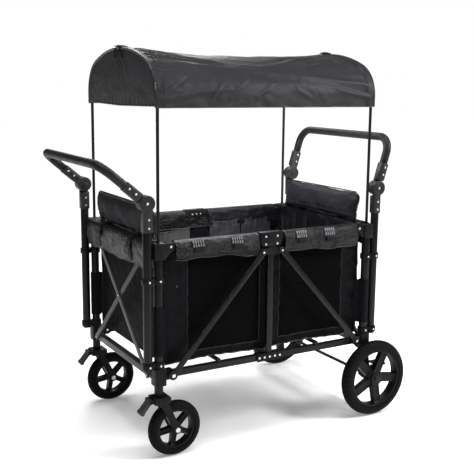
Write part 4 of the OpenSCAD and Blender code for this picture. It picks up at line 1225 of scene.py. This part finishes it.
def sew_headrest(pad):
    """Presses the stitched line into a headrest, with short puckers beside it."""
    low = min(vertex.co.z for vertex in pad.data.vertices)
    high = max(vertex.co.z for vertex in pad.data.vertices)
    moves = []
    for vertex in pad.data.vertices:
        up = (vertex.co.z - low) / (high - low)
        line = bell((up - HEADREST_SEAM) / 0.022)
        beside = bell((up - HEADREST_SEAM) / 0.09)
        pucker = 0.0024 * beside * waver(vertex.co.y * 62, vertex.co.z * 7, 1.5)
        crumple = 0.005 * waver(vertex.co.y * 15, vertex.co.z * 20, 4.0)
        moves.append(vertex.normal * (pucker + crumple - 0.0032 * line))
    for vertex, move in zip(pad.data.vertices, moves):
        vertex.co += move


def make_headrest(end):
    name, body = END_NAME[end], END_FRAME[end]
    node = name + "_headrest"
    pad = copy_node(node, node)
    weld()
    object_mode()
    stuff(pad, HEADREST_SWELL)
    sew_headrest(pad)
    make_headrest_piping(name, body, pad)
    add_rounding(pad, 1)
    apply_modifiers(pad)
    bpy.ops.object.shade_smooth()
    paint(pad, PAD_CLOTH)
    settle(pad, name + "_headrest_pad", body, "basket_cloth", node)


def make_mat(end):
    node = END_NAME[end] + "_floor"
    low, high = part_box(node)
    mat = make_box((low + high) / 2, high - low)
    stuff(mat, MAT_SWELL, voxel=0.004)
    bpy.ops.object.shade_smooth()
    paint(mat, MAT_CLOTH)
    settle(mat, node + "_mat", END_NAME[end] + "_bottom_rails", "basket_cloth", node)


for end in SIDES:
    make_headrest(end)
    make_mat(end)


# Rivets, tabs, pockets and straps

RIVET_R = 0.0038
RIVET_H = 0.0019
BUCKLE = (0.034, 0.024, 0.004)


def above(height):
    """A test for edges or faces that lie above a height."""
    def test(places):
        return all(at.z > height for at in places)

    return test


def make_rivet():
    """A rivet with a rounded, slightly dished head; it stands on the origin along +Z."""
    pick_none()
    bpy.ops.mesh.primitive_cylinder_add(
        vertices=20, radius=RIVET_R, depth=RIVET_H, location=(0, 0, RIVET_H / 2))
    rivet = bpy.context.object
    bpy.ops.object.transform_apply(location=True, rotation=True, scale=True)
    on_top = above(RIVET_H - 1e-5)
    choose(rivet, "EDGE", on_top)
    bpy.ops.mesh.bevel(offset=RIVET_H * 0.75, segments=3, affect="EDGES")
    object_mode()
    choose(rivet, "FACE", on_top)
    bpy.ops.mesh.inset(thickness=0.0007)
    bpy.ops.transform.translate(value=(0, 0, -0.0003))
    object_mode()
    return paint(smooth(rivet, 40), STEEL)


def make_buckle():
    """A webbing slider: a rounded plate with a raised bar; it lies on the origin with +Z outward."""
    thick = BUCKLE[2]
    buckle = make_box((0, 0, thick / 2), BUCKLE)
    choose(buckle, "FACE", above(thick - 1e-4))
    bpy.ops.mesh.inset(thickness=0.005)
    bpy.ops.transform.translate(value=(0, 0, -0.0016))
    bpy.ops.mesh.select_mode(type="EDGE")
    bpy.ops.mesh.select_all(action="DESELECT")
    bpy.ops.mesh.edges_select_sharp(sharpness=SHARP)
    bpy.ops.mesh.bevel(offset=0.0011, segments=2, affect="EDGES")
    object_mode()
    bar = taped([(-0.015, 0, thick), (0.015, 0, thick)], 0.0022, MOULDING)
    return join([paint(smooth(buckle), MOULDING), bar])


def set_copy(master, at, out, turn=0.0):
    """A copy of a small piece with its own mesh, standing at a place and pointing outward."""
    piece = bpy.data.objects.new(master.name, master.data.copy())
    bpy.context.scene.collection.objects.link(piece)
    tilt = Vector((0, 0, 1)).rotation_difference(Vector(out)).to_matrix().to_4x4()
    piece.data.transform(Matrix.Translation(at) @ tilt @ Matrix.Rotation(turn, 4, "Z"))
    return piece


rivet = make_rivet()
buckle = make_buckle()


def set_rivets(name, body, places):
    """Rivets that point outward from the sides of the wagon."""
    rivets = [set_copy(rivet, at, (0, math.copysign(1, at[1]), 0)) for at in places]
    settle(join(rivets), name, body, "steel")


HEAD_RIVETS = [(-0.022, 0.68), (0.022, 0.68), (-0.022, 0.655), (0.022, 0.655)]
FOOT_RIVETS = [(x, 0.272) for x in (-0.04, -0.02, 0.0, 0.02, 0.04)]
DIAGONAL_TOP = (0.038, 0.6315)
set_rivets("centre_rivets", "centre", [
    (MID_X + x, side * HEAD_OUT, z) for side in SIDES for x, z in HEAD_RIVETS + FOOT_RIVETS])
for end in SIDES:
    node = END_NAME[end] + "_diagonals"
    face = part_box(node)[1].y
    set_rivets(node + "_rivets", node, [
        (MID_X + end * DIAGONAL_TOP[0], side * face, DIAGONAL_TOP[1]) for side in SIDES])


# Inner face of the centre heads; the cover's half width, foot and top; the plate's size and its rivets
HEAD_FACE = POST_Y - 0.013
HEAD_COVER = (0.054, 0.626, 0.687)
HEAD_PLATE = (0.056, 0.003, 0.02)
PLATE_RIVETS = (-0.017, 0.0, 0.017)


def make_head_cover(side):
    """Cloth over the inner face of a centre head."""
    half, low, high = HEAD_COVER

    def place(s, t):
        x = (2 * s - 1) * half
        ripple = 0.0025 * waver(x * 40, t * 3, side + 7)
        y = HEAD_FACE - 0.011 + 0.006 * t - ripple
        return Vector((MID_X + x, side * y, low + (high - low) * t))

    cover = paint(thicken(cloth_grid(30, 24, place, 2 * half, high - low), THIN_T), RIM_CLOTH)
    settle(cover, SIDE_NAME[side] + "_head_cover", "centre", "basket_cloth")
    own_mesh(cover)


def make_head_plate(side):
    """A small riveted plate with rounded lower corners, at the top of a head cover."""
    _, thick, height = HEAD_PLATE
    y = HEAD_FACE - 0.0065
    z = HEAD_COVER[2] - height / 2
    plate = make_box((MID_X, side * y, z), HEAD_PLATE)

    def lower_corner(places):
        return all(at.z < z for at in places) and abs(places[0].y - places[1].y) > 0.001

    choose(plate, "EDGE", lower_corner)
    bpy.ops.mesh.bevel(offset=0.014, segments=6, affect="EDGES")
    object_mode()
    parts = [paint(smooth(plate), MOULDING)]
    for x in PLATE_RIVETS:
        parts.append(set_copy(rivet, (MID_X + x, side * (y - thick / 2), z), (0, -side, 0)))
    settle(join(parts), SIDE_NAME[side] + "_head_plate", "centre", "moulding")


for side in SIDES:
    make_head_cover(side)
    make_head_plate(side)


# Hinges of the handles, and the sockets on both sides of them
HINGE_OFF = 0.04
HINGE_Z = 0.814
HINGE_RING_R = 0.0185
TUBE_OFF = 0.036
SOCKET_END = 0.088
SOCKET_HALF = 0.016
SOCKET_RIVETS = (0.55, 0.85)
HANDLE_ANGLE = {-1: math.radians(40), 1: math.radians(73)}


def make_hinge_rings(end):
    """Raised rings round the hinge pins, on the outer faces of the hinge discs."""
    name = END_NAME[end]
    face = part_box(name + "_hinge_bases")[1].y
    centre = POST_X[end] + end * HINGE_OFF
    turns = [math.tau * i / 48 for i in range(48)]
    rings = []
    for side in SIDES:
        for radius, thick in ((HINGE_RING_R, 0.0014), (HINGE_RING_R * 0.55, 0.001)):
            loop = [(centre + radius * math.cos(turn), side * face, HINGE_Z + radius * math.sin(turn))
                    for turn in turns]
            rings.append(paint(tube(loop, thick, closed=True, sides=2), HINGE_GREY))
    settle(join(rings), name + "_hinge_rings", END_FRAME[end], "hinge_grey")


def set_socket_rivets(end):
    """Rivets on both faces of the handle sockets, and on the inner faces of the fixed ones."""
    name, angle = END_NAME[end], HANDLE_ANGLE[end]
    reach = Vector((end * math.cos(angle), 0, math.sin(angle)))
    hinge = Vector((POST_X[end] + end * HINGE_OFF, 0, HINGE_Z))
    base_x = POST_X[end] + end * TUBE_OFF
    arms, bases = [], []
    for side in SIDES:
        for share in SOCKET_RIVETS:
            for face in SIDES:
                off = Vector((0, side * POST_Y + face * SOCKET_HALF, 0))
                arms.append(set_copy(rivet, hinge + reach * share * SOCKET_END + off, (0, face, 0)))
            at = (base_x, side * (POST_Y - SOCKET_HALF), HINGE_Z - share * SOCKET_END)
            bases.append(set_copy(rivet, at, (0, -side, 0)))
    settle(join(arms), name + "_arm_rivets", name + "_handle", "steel")
    settle(join(bases), name + "_base_rivets", END_FRAME[end], "steel")


for end in SIDES:
    make_hinge_rings(end)
    set_socket_rivets(end)


# Cloth tabs round the posts
TAB_LOW = 0.335
TAB_HIGH = 0.49
TAB_GAP = 0.0028
TAB_TURNS = [math.radians(angle) for angle in (48, 90, 135, 180, 225, 265)]


def make_post_tab(end, side):
    """Cloth tab of a side wall, wrapped round a post."""
    radius = POST_R + TAB_GAP
    wall = side_high.y - POST_Y
    line = smooth_path(
        [(0.034, wall + 0.0026, 0), (0.022, wall + 0.012, 0)]
        + [(radius * math.cos(turn), radius * math.sin(turn), 0) for turn in TAB_TURNS]
        + [(0.013, wall + 0.0015, 0)])
    height = TAB_HIGH - TAB_LOW

    def place(s, t):
        at = line(s)
        z = TAB_LOW + height * t
        pull = 0.0012 * math.sin(z * 130 + 3 * s) * math.sin(math.pi * s)
        return Vector((POST_X[end] - end * at.x, side * (POST_Y + at.y + pull * 0.4), z + pull))

    tab = paint(thicken(cloth_grid(40, 20, place, line.length, height), THIN_T), BASKET_CLOTH)
    settle(tab, f"{END_NAME[end]}_{SIDE_NAME[side]}_post_tab", END_FRAME[end], "basket_cloth")


# Pockets inside the side walls: ends along the wall, heights, swell and cloth
POCKETS = [
    (-0.33, -0.03, 0.5, 0.626, 0.006, POCKET_MESH_WITH_REFLECTION),
    (0.055, 0.19, 0.47, 0.648, 0.007, LIT_POCKET_CLOTH),
    (0.195, 0.33, 0.47, 0.648, 0.007, LIT_POCKET_CLOTH),
]


def make_pocket(side, number, x0, x1, low, high, swell, material):
    face = side_low.y + 0.0035

    def place(s, t):
        x = x0 + (x1 - x0) * s
        middle = math.sin(math.pi * s)
        belly = middle**0.7 * math.sin(math.pi / 2 * min(1.0, 0.15 + t)) if 0 < s < 1 else 0.0
        pucker = 0.0035 * max(0.0, t - 0.75) * 4 * math.sin(x * 260 + number) * middle
        slack = 0.004 * waver(x * 16, t * 3, number + side) * middle
        z = low + (high - low) * t - 0.008 * middle * t
        return Vector((MID_X + x, side * (-face - swell * belly * t - max(0.0, pucker + slack)), z))

    width, height = x1 - x0, high - low
    grid = cloth_grid(44, 24, place, width, height)
    pocket = paint(thicken(grid, POCKET_T), material)
    name = f"{SIDE_NAME[side]}_pocket_{number}"
    settle(pocket, name, "front_frame", "basket_cloth")
    hem = taped(along(place, 50, t=1.0), PIPING_R)
    settle(hem, name + "_hem", "front_frame", "basket_cloth")
    for piece in (pocket, hem):
        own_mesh(piece)


for side in SIDES:
    for end in SIDES:
        make_post_tab(end, side)
    for number, pocket in enumerate(POCKETS, 1):
        make_pocket(side, number, *pocket)


# Shoulder straps, tabs over the end rims, and loops on the hoops with their lean
HARNESS = [-0.15, -0.075, 0.075, 0.15]
# A strap's places inward from the post, aside and up
HARNESS_PATH = [(0.0195, 0, 0.668), (0.0215, 0, 0.6), (0.024, 0.004, 0.5), (0.0225, 0.002, 0.4),
                (0.0205, 0, 0.335)]
STRAP_W = 0.025
END_TAB_W = 0.028
CANOPY_TAB_W = 0.016
CANOPY_TABS = ((-0.014, -0.006), (0.016, 0.007))
ACROSS = (0, 1, 0)


def make_harness(end):
    """Shoulder straps on an end wall, each with a slider."""
    def wall(inward):
        return POST_X[end] - end * inward

    parts = []
    for y in HARNESS:
        path = [(wall(inward), y + aside, z) for inward, aside, z in HARNESS_PATH]
        parts.append(paint(strap(path, ACROSS, STRAP_W, STRAP_T, 30), WEBBING))
        parts.append(set_copy(buckle, (wall(0.0235), y, 0.555), (-end, 0, 0), math.pi / 2))
    harness = settle(join(parts), END_NAME[end] + "_harness", END_FRAME[end], "basket_cloth")
    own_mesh(harness)


def make_rim_tabs(end):
    """Webbing tabs over the rim of an end wall, each with a slider."""
    off = Vector((end * 0.0024, 0, 0.0024))
    tabs = []
    for y in END_CLIPS:
        share = y / (2 * END_HALF) + 0.5
        path = [end_wall_place(end, share, 0.01 + 0.3 * i / 14) + off for i in range(15)]
        tabs.append(paint(strap(path, ACROSS, END_TAB_W, END_TAB_T, 36), WEBBING))
        at = path[4] + Vector((end * 0.001, 0, 0))
        tabs.append(set_copy(buckle, at, (end, 0, 0.12), math.pi / 2))
    settle(join(tabs), END_NAME[end] + "_rim_tabs", END_FRAME[end], "basket_cloth")


def make_canopy_tabs(end):
    """Small webbing loops that tie the curtain and the roof to the top of a hoop."""
    hoop_x, top = POST_X[end], hoop_high.z
    parts = []
    for y, lean in CANOPY_TABS:
        path = [(0.013, 2 * lean, -0.03), (0.0145, lean, -0.008), (0.008, 0, 0.0035),
                (-0.006, 0, 0.0042), (-0.022, -lean, 0.0022)]
        path = [(hoop_x + end * out, y + aside, top + up) for out, aside, up in path]
        parts.append(paint(strap(path, ACROSS, CANOPY_TAB_W, THIN_T, 20), WEBBING))
    parts.append(set_copy(buckle, (hoop_x + end * 0.001, 0.001, top + 0.0038), (0, 0, 1), 0.3))
    settle(join(parts), f"canopy_{END_NAME[end]}_tabs", END_NAME[end] + "_hoop", "canopy_cloth")


for end in SIDES:
    make_harness(end)
    make_rim_tabs(end)
    make_canopy_tabs(end)
for master in (rivet, buckle):
    bpy.data.objects.remove(master)


# Studio


def hang(name, lamp, place, target):
    """Puts a lamp in its place and points it at the target."""
    holder = bpy.data.objects.new(name, lamp)
    bpy.context.scene.collection.objects.link(holder)
    holder.location = place
    holder.rotation_euler = (target - place).to_track_quat("-Z", "Y").to_euler()


def make_studio():
    pick_none()
    bpy.ops.mesh.primitive_plane_add(size=40, location=(0, 0, -0.0005))
    floor = bpy.context.object
    floor.name = "studio_floor"
    material, tree, shader = new_material("Pale floor")
    grain = use_group(tree, GRAIN, Vector=object_place(tree), Scale=300.0)
    colour = blend_colours(tree, grain["Smudge"], (0.9, 0.9, 0.9), (0.92, 0.92, 0.92))
    tree.links.new(colour, shader.inputs["Base Color"])
    shader.inputs["Roughness"].default_value = 0.9
    shader.inputs["Emission Color"].default_value = (1, 1, 1, 1)
    shader.inputs["Emission Strength"].default_value = 0.2
    paint(floor, material)

    world = bpy.data.worlds.new("Studio")
    bpy.context.scene.world = world
    world.use_nodes = True
    tree = world.node_tree
    light = tree.nodes["Background"]
    light.inputs["Color"].default_value = (1, 1, 1, 1)
    light.inputs["Strength"].default_value = 0.1
    backdrop = tree.nodes.new("ShaderNodeBackground")
    backdrop.inputs["Color"].default_value = (1, 1, 1, 1)
    backdrop.inputs["Strength"].default_value = 1.0
    ray = tree.nodes.new("ShaderNodeLightPath")
    mix = tree.nodes.new("ShaderNodeMixShader")
    tree.links.new(ray.outputs["Is Camera Ray"], mix.inputs["Fac"])
    tree.links.new(light.outputs[0], mix.inputs[1])
    tree.links.new(backdrop.outputs[0], mix.inputs[2])
    tree.links.new(mix.outputs[0], tree.nodes["World Output"].inputs["Surface"])

    softboxes = [
        ("key", (2.1, -1.8, 2.2), 0.7, 85),
        ("top", (0.5, -1.0, 3.0), 0.7, 14),
        ("side", (-2.0, -2.5, 2.0), 0.5, 12),
        ("back", (0.8, 2.8, 2.6), 1.6, 40),
    ]
    target = Vector((0, 0, 0.65))
    for name, place, size, power in softboxes:
        lamp = bpy.data.lights.new(name, "AREA")
        lamp.size = size
        lamp.energy = power
        hang(name, lamp, Vector(place), target)
    glow = bpy.data.lights.new("canopy_glow", "AREA")
    glow.shape = "RECTANGLE"
    glow.size, glow.size_y = 0.6, 0.36
    glow.energy = 9
    hang("canopy_glow", glow, Vector((MID_X, 0, CANOPY_EDGE_Z + 0.03)), Vector((MID_X, 0, 0.3)))
    bpy.data.objects["canopy_glow"].visible_camera = False
    sky = bpy.data.lights.new("sky", "SUN")
    sky.energy = 2.8
    sky.angle = math.radians(36)
    hang("sky", sky, Vector((-0.1, 0.1, 3.2)), Vector((0, 0, 0)))
    bpy.context.scene.view_settings.view_transform = "Standard"


# The camera was fitted to points of the photograph, whose frame is 474 pixels square
PHOTO_SIZE = 474
FOCAL_PIXELS = 835.58
MIDDLE_PIXEL = (242.34, 225.99)
CAMERA_AT = (-1.4262, -2.5366, 1.1733)
CAMERA_YAW = -30.58
CAMERA_PITCH = 9.77
CAMERA_ROLL = 0.689


def make_camera():
    yaw, pitch, roll = (math.radians(angle) for angle in (CAMERA_YAW, CAMERA_PITCH, CAMERA_ROLL))
    level = math.cos(pitch)
    ahead = Vector((-math.sin(yaw) * level, math.cos(yaw) * level, -math.sin(pitch)))
    right = Vector((math.cos(yaw), math.sin(yaw), 0))
    up = right.cross(ahead)
    turn, lean = math.cos(roll), math.sin(roll)
    right, up = right * turn + up * lean, up * turn - right * lean
    camera = bpy.data.cameras.new("Camera")
    camera.sensor_width = 36
    camera.lens = FOCAL_PIXELS / PHOTO_SIZE * camera.sensor_width
    camera.shift_x = (PHOTO_SIZE / 2 - MIDDLE_PIXEL[0]) / PHOTO_SIZE
    camera.shift_y = (MIDDLE_PIXEL[1] - PHOTO_SIZE / 2) / PHOTO_SIZE
    holder = bpy.data.objects.new("Camera", camera)
    bpy.context.scene.collection.objects.link(holder)
    turned = Matrix((right, up, -ahead)).transposed().to_4x4()
    holder.matrix_world = Matrix.Translation(CAMERA_AT) @ turned
    bpy.context.scene.camera = holder


make_studio()
make_camera()
